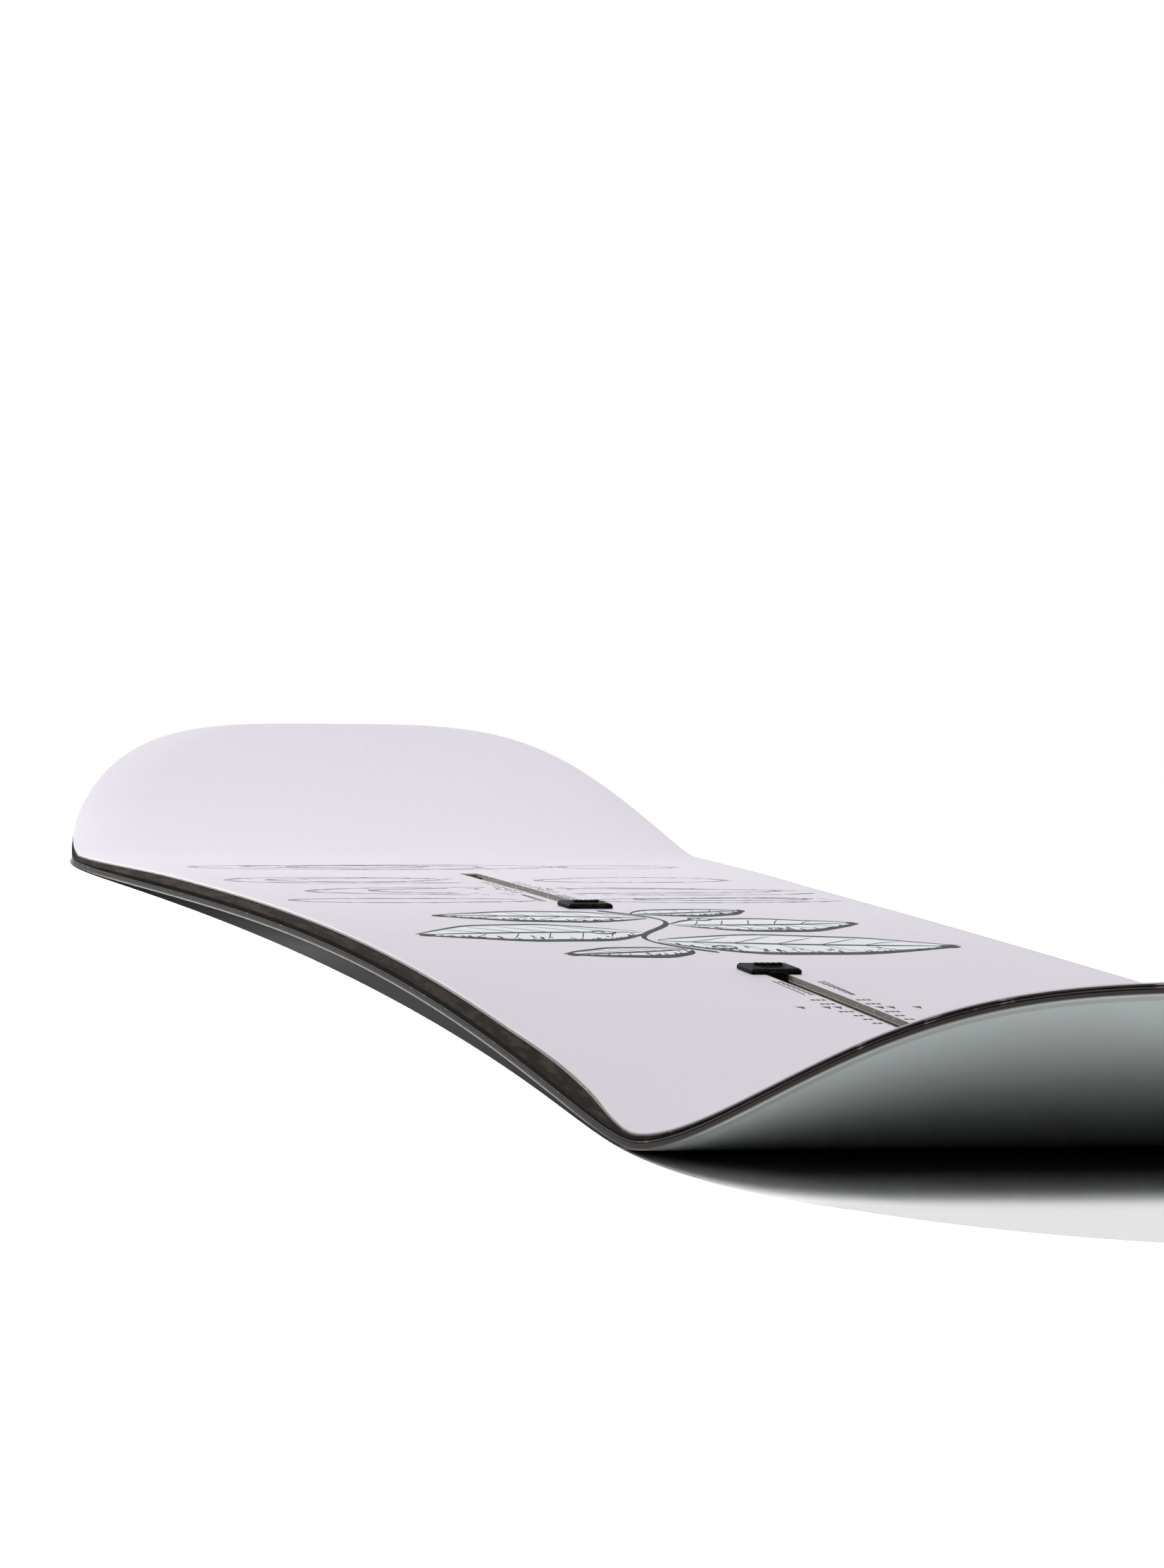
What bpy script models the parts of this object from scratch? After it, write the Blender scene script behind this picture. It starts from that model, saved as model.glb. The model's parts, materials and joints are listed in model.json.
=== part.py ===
# Snowboard with camber, two slotted binding channels and their end plugs.
#
# The board is built as it is made: every layer is modelled flat on the bench, at the thickness it
# has amidships, and is then pressed to the curve of the mould. X runs along the board with the
# nose at -X and the tail at +X, Y runs across it, and Z is up. Sizes are in metres. The origin is
# on the ground below the middle of the board.
import math
from collections import namedtuple

import bmesh
import bpy
from mathutils import Matrix, Vector

# Plan shape
BOARD_LENGTH = 1.480
WAIST_WIDTH = 0.2505
NOSE_WIDTH = 0.3015
TAIL_WIDTH = 0.2910
NOSE_REACH = 0.1820  # from the widest place of the nose to its tip
TAIL_REACH = 0.1640
NOSE_ROUNDNESS = 2.0  # power of the length in the tip's superellipse
TAIL_ROUNDNESS = 2.0
NOSE_SQUARENESS = 3.88  # power of the width in it
TAIL_SQUARENESS = 4.44
WAIST_SETBACK = 0.0325  # from the middle of the board to its waist, towards the tail
SIDECUT_EASE = 16.0  # power that flattens the sidecut out where the board is widest

# Side view
CAMBER = 0.0053
NOSE_KICK = 0.1655  # length of the raised nose
TAIL_KICK = 0.1745
NOSE_RISE = 0.0571
TAIL_RISE = 0.0568
NOSE_CURL = 1.65  # power of the rise along the nose
TAIL_CURL = 1.85
BOARD_THICKNESS = 0.0080  # amidships
TIP_THICKNESS = 0.0040
FULL_THICKNESS_REACH = 0.349  # from the middle to where the core starts to thin
THIN_REACH = 0.697  # from the middle to where it is as thin as the tips

# Layers
BASE_THICKNESS = 0.0013
LOWER_GLASS = 0.0004
UPPER_GLASS = 0.0004
TOPSHEET_THICKNESS = 0.00045
GLUE_LINE = 0.00005  # between layers pressed on each other
SEAM = 0.00015  # between pieces that stand side by side

# Steel edges, the rubber strip on them and the sidewalls
EDGE_HEIGHT = 0.0020
EDGE_WIDTH = 0.0020
FLANGE_REACH = 0.0070  # from the board's side to the inner end of the edge's flange
EDGE_JOINT = 0.0003  # between the two edges where they meet at the tips
RUBBER_THICKNESS = 0.00015
RUBBER_RECESS = 0.0003
SIDEWALL_WIDTH = 0.0080
BEVEL_WIDTH = 0.0033  # the sidewall's slope, in plan
BEVEL_HEIGHT = 0.0036
BEVEL_FADE = 0.120  # length over which the slope runs out towards a tip
BEVEL_OVERRUN = 0.020  # how far past the widest place it runs out
TIP_SPACER_REACH = 0.130  # from a tip to where the core and the sidewalls end

# Core strips
CORE_STRIP_WIDTH = 0.035

# Binding channels
CHANNEL_SPACING = 0.2852  # between the inner ends of the two
CHANNEL_LENGTH = 0.2500
STANCE_SETBACK = 0.0048  # from the middle of the board to midway between them
CHANNEL_MOUTH = 0.0072
CHANNEL_DEPTH = 0.0051
CHANNEL_WIDTH = 0.0240
LIP_HEIGHT = 0.0029  # depth of the narrow mouth, from the deck to the undercut
RIM_WIDTH = 0.0007  # of the lip that shows beside the mouth
UNDERCUT_WIDTH = 0.0126
RIB_COUNT = 5
RIB_DEPTH = 0.00025
END_STOP_LENGTH = 0.0150
END_STOP_DROP = 0.0012  # of its top below the deck
END_STOP_FOOT = 0.0018

# Plugs in the channels' inner ends
PLATE_LENGTH = 0.0235
PLATE_WIDTH = 0.0180
PLATE_THICKNESS = 0.0021
PLATE_BEVEL = 0.0008
PLATE_CORNER = 0.0012
PLATE_OVERHANG = 0.0040  # of the plate past the channel's inner end
STEM_OVERRUN = 0.0020  # of the stem past the plate, along the channel
STEM_DEPTH = 0.0042
STEM_SLIT = 0.0018  # between the stem's two legs
STEM_CHAMFER = 0.0009  # at the foot of each leg
SCOOP_LENGTH = 0.0085
SCOOP_WIDTH = 0.0105
SCOOP_DEPTH = 0.0008
SCOOP_CORNER = 0.0028
SCOOP_FLOOR_SHARE = 0.55  # of its mouth's length and width that is left at its floor
CATCH_WIDTH = 0.0098  # the finger catch beside the scoop
CATCH_LENGTH = 0.0026
CATCH_HEIGHT = 0.0009
CATCH_GAP = 0.0004  # between it and the scoop
CATCH_TEETH = 5
TOOTH_FLANK_SHARE = 0.2  # of a tooth's width that each of its flanks takes
TOOTH_DEPTH = 0.0003
PLUG_FIT = 0.00015  # clearance round the stem, and under the plate

# How finely the curves are stepped
TIP_STEPS = 12
MIDDLE_STEPS = 16
CORNER_STEPS = 3

Tip = namedtuple("Tip", "sign width reach roundness squareness kick rise curl")
NOSE = Tip(-1, NOSE_WIDTH, NOSE_REACH, NOSE_ROUNDNESS, NOSE_SQUARENESS, NOSE_KICK, NOSE_RISE, NOSE_CURL)
TAIL = Tip(1, TAIL_WIDTH, TAIL_REACH, TAIL_ROUNDNESS, TAIL_SQUARENESS, TAIL_KICK, TAIL_RISE, TAIL_CURL)
HALF_LENGTH = BOARD_LENGTH / 2

# Heights in the flat stack, from the ground up
FLANGE_FOOT = BASE_THICKNESS + GLUE_LINE
RUBBER_FOOT = EDGE_HEIGHT + GLUE_LINE
RUBBER_TOP = RUBBER_FOOT + RUBBER_THICKNESS
CORE_FOOT = FLANGE_FOOT + LOWER_GLASS + GLUE_LINE
SHOULDER = RUBBER_TOP + GLUE_LINE + LOWER_GLASS + GLUE_LINE  # the sidewalls' foot
TOPSHEET_FOOT = BOARD_THICKNESS - TOPSHEET_THICKNESS
UPPER_GLASS_TOP = TOPSHEET_FOOT - GLUE_LINE
UPPER_GLASS_FOOT = UPPER_GLASS_TOP - UPPER_GLASS
CORE_TOP = UPPER_GLASS_FOOT - GLUE_LINE
BEVEL_FOOT = BOARD_THICKNESS - BEVEL_HEIGHT
GLASS_STEP = SIDEWALL_WIDTH - FLANGE_REACH - SEAM  # run of the glass up over the flange

Channel = namedtuple("Channel", "name sign")
CHANNELS = [Channel("front", -1), Channel("rear", 1)]


def channel_start(channel):
    return STANCE_SETBACK + channel.sign * CHANNEL_SPACING / 2


def channel_end(channel):
    return channel_start(channel) + channel.sign * CHANNEL_LENGTH


def plug_middle(channel):
    return channel_start(channel) + channel.sign * (PLATE_LENGTH / 2 - PLATE_OVERHANG)


# Plan shape


def widest_x(tip):
    return tip.sign * (HALF_LENGTH - tip.reach)


def half_width(x):
    """Half the board's width at x: a sidecut between the widest places, a superellipse past them."""
    tip = NOSE if x < WAIST_SETBACK else TAIL
    along = (x - WAIST_SETBACK) / (widest_x(tip) - WAIST_SETBACK)
    if along <= 1:
        swell = (SIDECUT_EASE * along**2 - 2 * along**SIDECUT_EASE) / (SIDECUT_EASE - 2)
        return (WAIST_WIDTH + (tip.width - WAIST_WIDTH) * swell) / 2
    past = min((x - widest_x(tip)) / (tip.sign * tip.reach), 1)
    return tip.width / 2 * (1 - past**tip.roundness) ** (1 / tip.squareness)


def tip_curve(tip):
    """Points of a tip's superellipse from its widest place, stepped by equal angles, to its end."""
    points = []
    for step in range(TIP_STEPS + 1):
        turn = math.pi / 2 * step / TIP_STEPS
        along = math.sin(turn) ** (2 / tip.roundness)
        across = max(math.cos(turn), 0) ** (2 / tip.squareness)
        if step == TIP_STEPS:
            across = 0
        points.append((widest_x(tip) + tip.sign * tip.reach * along, tip.width / 2 * across))
    return points


def middle_stations():
    """Even steps between the widest places, moved off the plugs, whose plates sit on flat deck."""
    start = widest_x(NOSE)
    stations = [start + (widest_x(TAIL) - start) * step / MIDDLE_STEPS for step in range(1, MIDDLE_STEPS)]
    for channel in CHANNELS:
        reach = PLATE_LENGTH / 2 + STEM_OVERRUN
        low = plug_middle(channel) - reach
        high = plug_middle(channel) + reach
        stations = [x for x in stations if not low - reach < x < high + reach] + [low, high]
    return sorted(stations)


def right_side():
    """The right side's outline, nose to tail, with a point where each kick leaves the ground."""
    contacts = [tip.sign * (HALF_LENGTH - tip.kick) for tip in (NOSE, TAIL)]
    along = [(x, half_width(x)) for x in middle_stations() + contacts]
    return sorted(tip_curve(NOSE) + along + tip_curve(TAIL))


RIGHT_SIDE = right_side()
OutlinePoint = namedtuple("OutlinePoint", "x y out_x out_y")


def with_normals(points):
    """The side's points, each with the direction that points straight out of the board there."""
    outline = []
    for index, (x, y) in enumerate(points):
        if index in (0, len(points) - 1):
            outline.append(OutlinePoint(x, y, math.copysign(1, x), 0))
            continue
        before = points[index - 1]
        after = points[index + 1]
        run = math.hypot(after[0] - before[0], after[1] - before[1])
        outline.append(OutlinePoint(x, y, -(after[1] - before[1]) / run, (after[0] - before[0]) / run))
    return outline


OUTLINE = with_normals(RIGHT_SIDE)


def side_between(low, high):
    """The right side's outline from x = low to x = high, cut square where it stops short of a tip."""
    inside = [point for point in OUTLINE if low <= point.x <= high]
    if low > -HALF_LENGTH:
        inside.insert(0, OutlinePoint(low, half_width(low), 0, 1))
    if high < HALF_LENGTH:
        inside.append(OutlinePoint(high, half_width(high), 0, 1))
    return inside


def bevel_inset(x, z):
    """How far the sloped side has come in at the flat height z."""
    climb = min(max((z - BEVEL_FOOT) / BEVEL_HEIGHT, 0), 1)
    room = min(widest_x(TAIL) - x, x - widest_x(NOSE)) + BEVEL_OVERRUN
    fade = min(max(room / BEVEL_FADE, 0), 1)
    return BEVEL_WIDTH * climb * fade * fade * (3 - 2 * fade)


def inset_point(point, inset, z):
    depth = max(inset, bevel_inset(point.x, z))
    return Vector((point.x - point.out_x * depth, point.y - point.out_y * depth, z))


def mirrored(points):
    return [Vector((point.x, -point.y, point.z)) for point in points]


# Side view


def profile_height(x):
    """Height of the running surface over the ground: an arch between the contacts, then the kicks."""
    nose_contact = NOSE_KICK - HALF_LENGTH
    tail_contact = HALF_LENGTH - TAIL_KICK
    middle = (nose_contact + tail_contact) / 2
    along = min(abs(x - middle) / (tail_contact - middle), 1)
    height = CAMBER * (1 - along**2) ** 2
    for tip in (NOSE, TAIL):
        past = (x * tip.sign - (HALF_LENGTH - tip.kick)) / tip.kick
        if past > 0:
            height += tip.rise * min(past, 1) ** tip.curl
    return height


def profile_slope(x):
    step = 0.0001
    low = max(x - step, -HALF_LENGTH)
    high = min(x + step, HALF_LENGTH)
    return math.atan2(profile_height(high) - profile_height(low), high - low)


def core_squeeze(x):
    """Share that is left of the core's height above the sidewalls' foot, full amidships."""
    thinning = min(max((abs(x) - FULL_THICKNESS_REACH) / (THIN_REACH - FULL_THICKNESS_REACH), 0), 1)
    thinning = thinning * thinning * (3 - 2 * thinning)
    full = CORE_TOP - SHOULDER
    return 1 - thinning * (BOARD_THICKNESS - TIP_THICKNESS) / full


def pressed_height(x, z):
    """Height over the running surface that the flat height z has after pressing."""
    full = CORE_TOP - SHOULDER
    squeezed = min(max(z - SHOULDER, 0), full)
    return z - squeezed * (1 - core_squeeze(x))


def at_station(x, z):
    slope = profile_slope(x)
    height = pressed_height(x, z)
    return Vector((x - math.sin(slope) * height, 0, profile_height(x) + math.cos(slope) * height))


STATIONS = [x for x, y in RIGHT_SIDE]


def span_at(x):
    """The two stations that x lies between."""
    for low, high in zip(STATIONS, STATIONS[1:]):
        if x <= high:
            return low, high
    return STATIONS[-2], STATIONS[-1]


def pressed(point):
    """A flat point's place on the pressed board, which is straight between stations."""
    low, high = span_at(point.x)
    share = (point.x - low) / (high - low)
    place = at_station(low, point.z).lerp(at_station(high, point.z), share)
    return Vector((place.x, point.y, place.z))


def deck_frame(x):
    """Place and turn of a rigid piece that sits on the deck at x."""
    low, high = span_at(x)
    run = pressed(Vector((high, 0, BOARD_THICKNESS))) - pressed(Vector((low, 0, BOARD_THICKNESS)))
    tilt = -math.atan2(run.z, run.x)
    return pressed(Vector((x, 0, BOARD_THICKNESS))), tilt


# Solids


def skin(bm, rings, closed):
    """Quads between neighbouring rings of points, which close on themselves if they say so."""
    rows = [[bm.verts.new(point) for point in ring] for ring in rings]
    count = len(rows[0])
    steps = count if closed else count - 1
    for low, high in zip(rows, rows[1:]):
        for index in range(steps):
            after = (index + 1) % count
            bm.faces.new((low[index], low[after], high[after], high[index]))
    return rows


def stacked(rings):
    """A closed solid skinned over rings from its underside up, flat at both ends."""
    bm = bmesh.new()
    rows = skin(bm, rings, True)
    bm.faces.new(rows[0][::-1])
    bm.faces.new(rows[-1])
    return bm


def swept(points, profile):
    """A closed solid whose profile of (inset, height) runs along the outline points."""
    rings = [[inset_point(point, inset, z) for inset, z in profile] for point in points]
    return stacked(rings)


def cut_at(bm, places, axis):
    """Cuts every face where it crosses a place along the axis, and keeps both sides."""
    normal = Vector((0, 0, 0))
    normal[axis] = 1
    for place in places:
        geometry = bm.verts[:] + bm.edges[:] + bm.faces[:]
        bmesh.ops.bisect_plane(bm, geom=geometry, dist=SEAM, plane_co=normal * place, plane_no=normal)


def press(bm):
    """Bends a flat solid, and thins its core, to the mould."""
    xs = [vert.co.x for vert in bm.verts]
    crossed = [x for x in STATIONS if min(xs) + SEAM < x < max(xs) - SEAM]
    cut_at(bm, crossed, 0)
    for vert in bm.verts:
        vert.co = pressed(vert.co)


def add_object(name, bm, material, place=None, tilt=0):
    bmesh.ops.recalc_face_normals(bm, faces=bm.faces)
    bmesh.ops.triangulate(bm, faces=bm.faces)
    mesh = bpy.data.meshes.new(name)
    bm.to_mesh(mesh)
    bm.free()
    mesh.materials.append(material)
    obj = bpy.data.objects.new(name, mesh)
    if place is not None:
        obj.location = place
        obj.rotation_euler = (0, tilt, 0)
    bpy.context.scene.collection.objects.link(obj)
    return obj


def add_pressed(name, bm, material):
    press(bm)
    return add_object(name, bm, material)


def whole_ring(inset, z):
    """The board's outline at a height, drawn in by an inset."""
    right = [inset_point(point, inset, z) for point in OUTLINE]
    return right + mirrored(right[1:-1])[::-1]


def spacer_joint(tip):
    """Where a tip spacer butts against the core, square across the board."""
    return tip.sign * (HALF_LENGTH - TIP_SPACER_REACH)


def at_joint(vert, tip):
    return abs(vert.co.x - spacer_joint(tip)) < SEAM


def tip_ring(tip, inset, z):
    joint = spacer_joint(tip)
    end = tip.sign * HALF_LENGTH
    right = [inset_point(point, inset, z) for point in side_between(min(joint, end), max(joint, end))]
    left = mirrored(right)[::-1]
    if tip is NOSE:
        return right + left[:-1]
    return right + left[1:]


def rect_prism(x_range, y_range, z_range):
    (x_low, x_high), (y_low, y_high), (z_low, z_high) = x_range, y_range, z_range
    plan = [(x_low, y_low), (x_high, y_low), (x_high, y_high), (x_low, y_high)]
    return stacked([[Vector((x, y, z)) for x, y in plan] for z in (z_low, z_high)])


def cut_slots(bm):
    """Opens the two channel slots right through a flat sheet."""
    reach = CHANNEL_MOUTH / 2 + RIM_WIDTH + SEAM
    ends = []
    for channel in CHANNELS:
        ends.append(sorted((channel_start(channel), channel_end(channel))))
    cut_at(bm, [x for pair in ends for x in pair], 0)
    cut_at(bm, [-reach, reach], 1)
    for low, high in ends:
        inside = []
        for face in bm.faces:
            middle = face.calc_center_median()
            if low < middle.x < high and abs(middle.y) < reach:
                inside.append(face)
        bmesh.ops.delete(bm, geom=inside, context="FACES")
        rim = [edge for edge in bm.edges if edge.is_boundary]
        bmesh.ops.bridge_loops(bm, edges=rim)


# Materials


def make_material(name, color, roughness, metallic=0.0):
    material = bpy.data.materials.new(name)
    material.use_nodes = True
    shader = material.node_tree.nodes["Principled BSDF"]
    shader.inputs["Base Color"].default_value = (*color, 1)
    shader.inputs["Roughness"].default_value = roughness
    shader.inputs["Metallic"].default_value = metallic
    return material


# Layers


def build_base():
    inset = EDGE_WIDTH + SEAM
    bm = stacked([whole_ring(inset, 0), whole_ring(inset, BASE_THICKNESS)])
    add_pressed("base_sheet", bm, make_material("base", (0.60, 0.66, 0.655), 0.32))


def edge_outline():
    """The whole side, held back at both tips by half of the joint between the two edges."""
    ends = {0, len(OUTLINE) - 1}
    return [p._replace(y=EDGE_JOINT / 2) if index in ends else p for index, p in enumerate(OUTLINE)]


def add_both_sides(name, points, profile, material):
    for side in ("right", "left"):
        bm = swept(points, profile)
        if side == "left":
            bmesh.ops.scale(bm, vec=(1, -1, 1), verts=bm.verts)
            bmesh.ops.reverse_faces(bm, faces=bm.faces)
        add_pressed(f"{name}_{side}", bm, material)


def build_steel_edges():
    profile = [
        (0, 0),
        (0, EDGE_HEIGHT),
        (FLANGE_REACH, EDGE_HEIGHT),
        (FLANGE_REACH, FLANGE_FOOT),
        (EDGE_WIDTH, FLANGE_FOOT),
        (EDGE_WIDTH, 0),
    ]
    steel = make_material("steel", (0.55, 0.56, 0.57), 0.3, 1.0)
    add_both_sides("steel_edge", edge_outline(), profile, steel)


def build_edge_rubbers():
    profile = [
        (RUBBER_RECESS, RUBBER_FOOT),
        (RUBBER_RECESS, RUBBER_TOP),
        (FLANGE_REACH, RUBBER_TOP),
        (FLANGE_REACH, RUBBER_FOOT),
    ]
    rubber = make_material("rubber", (0.012, 0.012, 0.012), 0.8)
    add_both_sides("edge_rubber", edge_outline(), profile, rubber)


def build_lower_glass(glass):
    """The lower fibreglass lies on the base and steps up over the edges' flanges."""
    inner = SIDEWALL_WIDTH
    outer = SIDEWALL_WIDTH - GLASS_STEP
    low = FLANGE_FOOT
    high = RUBBER_TOP + GLUE_LINE
    rings = [(inner, low), (outer, high), (0, high)]
    rings += [(inset, z + LOWER_GLASS) for inset, z in reversed(rings)]
    add_pressed("lower_laminate", stacked([whole_ring(inset, z) for inset, z in rings]), glass)


def build_upper_glass(glass):
    bm = stacked([whole_ring(0, UPPER_GLASS_FOOT), whole_ring(0, UPPER_GLASS_TOP)])
    cut_slots(bm)
    add_pressed("upper_laminate", bm, glass)


def build_topsheet():
    bm = stacked([whole_ring(0, TOPSHEET_FOOT), whole_ring(0, BOARD_THICKNESS)])
    cut_slots(bm)
    add_pressed("topsheet", bm, make_material("topsheet", (0.74, 0.71, 0.76), 0.45))


def core_ends():
    """Where the core and the sidewalls stop, short of the tip spacers."""
    return spacer_joint(NOSE) + SEAM, spacer_joint(TAIL) - SEAM


def build_sidewalls():
    inner = SIDEWALL_WIDTH
    profile = [(0, SHOULDER), (0, BEVEL_FOOT), (0, CORE_TOP), (inner, CORE_TOP), (inner, SHOULDER)]
    points = side_between(*core_ends())
    add_both_sides("sidewall", points, profile, make_material("sidewall", (0.035, 0.028, 0.025), 0.35))


def build_tip_spacers():
    material = make_material("tip_spacer", (0.03, 0.026, 0.024), 0.4)
    inner = SIDEWALL_WIDTH + SEAM
    for name, tip in (("nose_spacer", NOSE), ("tail_spacer", TAIL)):
        rings = [(inner, CORE_FOOT), (inner, SHOULDER), (0, SHOULDER), (0, CORE_TOP)]
        bm = stacked([tip_ring(tip, inset, z) for inset, z in rings])
        butt = [face for face in bm.faces if all(at_joint(vert, tip) for vert in face.verts)]
        bmesh.ops.dissolve_faces(bm, faces=butt)  # into one stepped face
        add_pressed(name, bm, material)


def build_core(wood):
    """Strips side by side. The middle one stops at each channel, the outer ones follow the sides."""
    low, high = core_ends()
    inner_edge = CHANNEL_WIDTH / 2 + SEAM
    starts = sorted(channel_start(channel) for channel in CHANNELS)
    stops = sorted(channel_end(channel) for channel in CHANNELS)
    middle_runs = [
        ("core_center_nose", (low, stops[0] - SEAM)),
        ("core_center_middle", (starts[0] + SEAM, starts[1] - SEAM)),
        ("core_center_tail", (stops[1] + SEAM, high)),
    ]
    height = (CORE_FOOT, CORE_TOP)
    for name, run in middle_runs:
        add_pressed(name, rect_prism(run, (SEAM - inner_edge, inner_edge - SEAM), height), wood)
    for side, sign in (("right", 1), ("left", -1)):
        for index, place in enumerate(("inner", "middle")):
            near = inner_edge + index * CORE_STRIP_WIDTH
            far = near + CORE_STRIP_WIDTH - SEAM
            run = sorted((sign * near, sign * far))
            add_pressed(f"core_{side}_{place}", rect_prism((low, high), run, height), wood)
        near = inner_edge + 2 * CORE_STRIP_WIDTH
        rings = []
        for z in height:
            ring = [inset_point(point, SIDEWALL_WIDTH + SEAM, z) for point in side_between(low, high)]
            ring += [Vector((high, near, z)), Vector((low, near, z))]
            rings.append(ring if sign > 0 else mirrored(ring))
        add_pressed(f"core_{side}_outer", stacked(rings), wood)


# Binding channels


def rail_profile():
    """Half of the rail's section, as (y, z), from the middle of its foot round to its floor."""
    mouth = CHANNEL_MOUTH / 2
    lip_foot = BOARD_THICKNESS - LIP_HEIGHT
    pitch = LIP_HEIGHT / RIB_COUNT
    points = [
        (CHANNEL_WIDTH / 2 - SEAM, CORE_FOOT),
        (CHANNEL_WIDTH / 2 - SEAM, CORE_TOP),
        (mouth + RIM_WIDTH, CORE_TOP),
        (mouth + RIM_WIDTH, BOARD_THICKNESS),
    ]
    for rib in range(RIB_COUNT):
        top = BOARD_THICKNESS - rib * pitch
        points.append((mouth, top))
        points.append((mouth + RIB_DEPTH, top - pitch / 2))
    points.append((mouth, lip_foot))
    points.append((UNDERCUT_WIDTH / 2, lip_foot))
    points.append((UNDERCUT_WIDTH / 2, BOARD_THICKNESS - CHANNEL_DEPTH))
    return points


def extruded_along_x(half_section, x_low, x_high):
    """A solid from a half section of (y, z) points, mirrored, that runs along X."""
    section = half_section + [(-y, z) for y, z in reversed(half_section)]
    return stacked([[Vector((x, y, z)) for y, z in section] for x in (x_low, x_high)])


def build_channels():
    rail = make_material("channel_rail", (0.28, 0.26, 0.23), 0.5)
    plastic = make_material("end_stop", (0.01, 0.01, 0.01), 0.5)
    for channel in CHANNELS:
        start = channel_start(channel) + channel.sign * SEAM
        end = channel_end(channel) - channel.sign * SEAM
        bm = extruded_along_x(rail_profile(), *sorted((start, end)))
        add_pressed(f"{channel.name}_channel", bm, rail)
        half_foot = UNDERCUT_WIDTH / 2 - SEAM
        half_stem = CHANNEL_MOUTH / 2 - SEAM
        floor = BOARD_THICKNESS - CHANNEL_DEPTH + SEAM
        section = [
            (half_foot, floor),
            (half_foot, floor + END_STOP_FOOT),
            (half_stem, floor + END_STOP_FOOT),
            (half_stem, BOARD_THICKNESS - END_STOP_DROP),
        ]
        bm = extruded_along_x(section, *sorted((end - channel.sign * END_STOP_LENGTH, end)))
        add_pressed(f"{channel.name}_channel_end_stop", bm, plastic)


# Plugs


def rounded_rect(middle_x, size_x, size_y, corner, z):
    """A rounded rectangle round (middle_x, 0), counter-clockwise from its first corner."""
    points = []
    for quarter in range(4):
        sign_x = 1 if quarter in (0, 3) else -1
        sign_y = 1 if quarter in (0, 1) else -1
        for step in range(CORNER_STEPS + 1):
            turn = math.pi / 2 * (quarter + step / CORNER_STEPS)
            x = middle_x + sign_x * (size_x / 2 - corner) + corner * math.cos(turn)
            y = sign_y * (size_y / 2 - corner) + corner * math.sin(turn)
            points.append(Vector((x, y, z)))
    return points


def plug_plate():
    """The plate, with bevelled edges and a scoop for the fingertip on the channel's side."""
    shoulder = PLATE_THICKNESS - PLATE_BEVEL
    top_length = PLATE_LENGTH - 2 * PLATE_BEVEL
    top_width = PLATE_WIDTH - 2 * PLATE_BEVEL
    rings = [
        rounded_rect(0, PLATE_LENGTH, PLATE_WIDTH, PLATE_CORNER, PLUG_FIT),
        rounded_rect(0, PLATE_LENGTH, PLATE_WIDTH, PLATE_CORNER, shoulder),
        rounded_rect(0, top_length, top_width, PLATE_CORNER, PLATE_THICKNESS),
    ]
    for share, z in ((1, PLATE_THICKNESS), (SCOOP_FLOOR_SHARE, PLATE_THICKNESS - SCOOP_DEPTH)):
        length = SCOOP_LENGTH * share
        rings.append(rounded_rect(SCOOP_LENGTH / 2, length, SCOOP_WIDTH * share, SCOOP_CORNER * share, z))
    return stacked(rings)


def plug_catch():
    """The upright finger catch across the plate, with teeth along its top."""
    tooth = CATCH_WIDTH / CATCH_TEETH
    flank = tooth * TOOTH_FLANK_SHARE
    foot = PLATE_THICKNESS / 2  # half way down the plate, which it is joined to
    top = PLATE_THICKNESS + CATCH_HEIGHT
    outline = [(CATCH_WIDTH / 2, foot)]
    for index in range(CATCH_TEETH):
        start = CATCH_WIDTH / 2 - index * tooth
        outline.append((start - flank, top))
        outline.append((start - tooth + flank, top))
        if index < CATCH_TEETH - 1:
            outline.append((start - tooth, top - TOOTH_DEPTH))
    outline.append((-CATCH_WIDTH / 2, foot))
    ends = (-CATCH_GAP - CATCH_LENGTH, -CATCH_GAP)
    return stacked([[Vector((x, y, z)) for y, z in outline] for x in ends])


def plug_stem():
    """Two legs that stand in the channel's mouth, joined under the plate."""
    half = CHANNEL_MOUTH / 2 - PLUG_FIT
    half_section = [
        (half, PLATE_THICKNESS / 2),
        (half, STEM_CHAMFER - STEM_DEPTH),
        (half - STEM_CHAMFER, -STEM_DEPTH),
        (STEM_SLIT / 2, -STEM_DEPTH),
        (STEM_SLIT / 2, -PLUG_FIT),
    ]
    x_low = PLATE_OVERHANG + PLUG_FIT - PLATE_LENGTH / 2
    x_high = PLATE_LENGTH / 2 + STEM_OVERRUN
    return extruded_along_x(half_section, x_low, x_high)


def joined(name, pieces, material):
    """One object from overlapping solids, joined by Boolean union."""
    objects = [add_object(f"{name}_{index}", bm, material) for index, bm in enumerate(pieces)]
    body = objects[0]
    for tool in objects[1:]:
        union = body.modifiers.new("union", "BOOLEAN")
        union.operation = "UNION"
        union.object = tool
        tool.hide_render = True
        tool.display_type = "WIRE"
    body.name = name
    return body


def build_plugs():
    material = make_material("plug", (0.012, 0.012, 0.012), 0.55)
    for channel in CHANNELS:
        plug = joined(f"{channel.name}_plug", [plug_plate(), plug_catch(), plug_stem()], material)
        place, tilt = deck_frame(plug_middle(channel))
        turn = Matrix.Rotation(math.pi, 4, "Z") if channel.sign < 0 else Matrix.Identity(4)
        matrix = Matrix.Translation(place) @ Matrix.Rotation(tilt, 4, "Y") @ turn
        plug.matrix_world = matrix
        for modifier in plug.modifiers:
            modifier.object.matrix_world = matrix


def clear_scene():
    for obj in list(bpy.data.objects):
        bpy.data.objects.remove(obj)


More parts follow.
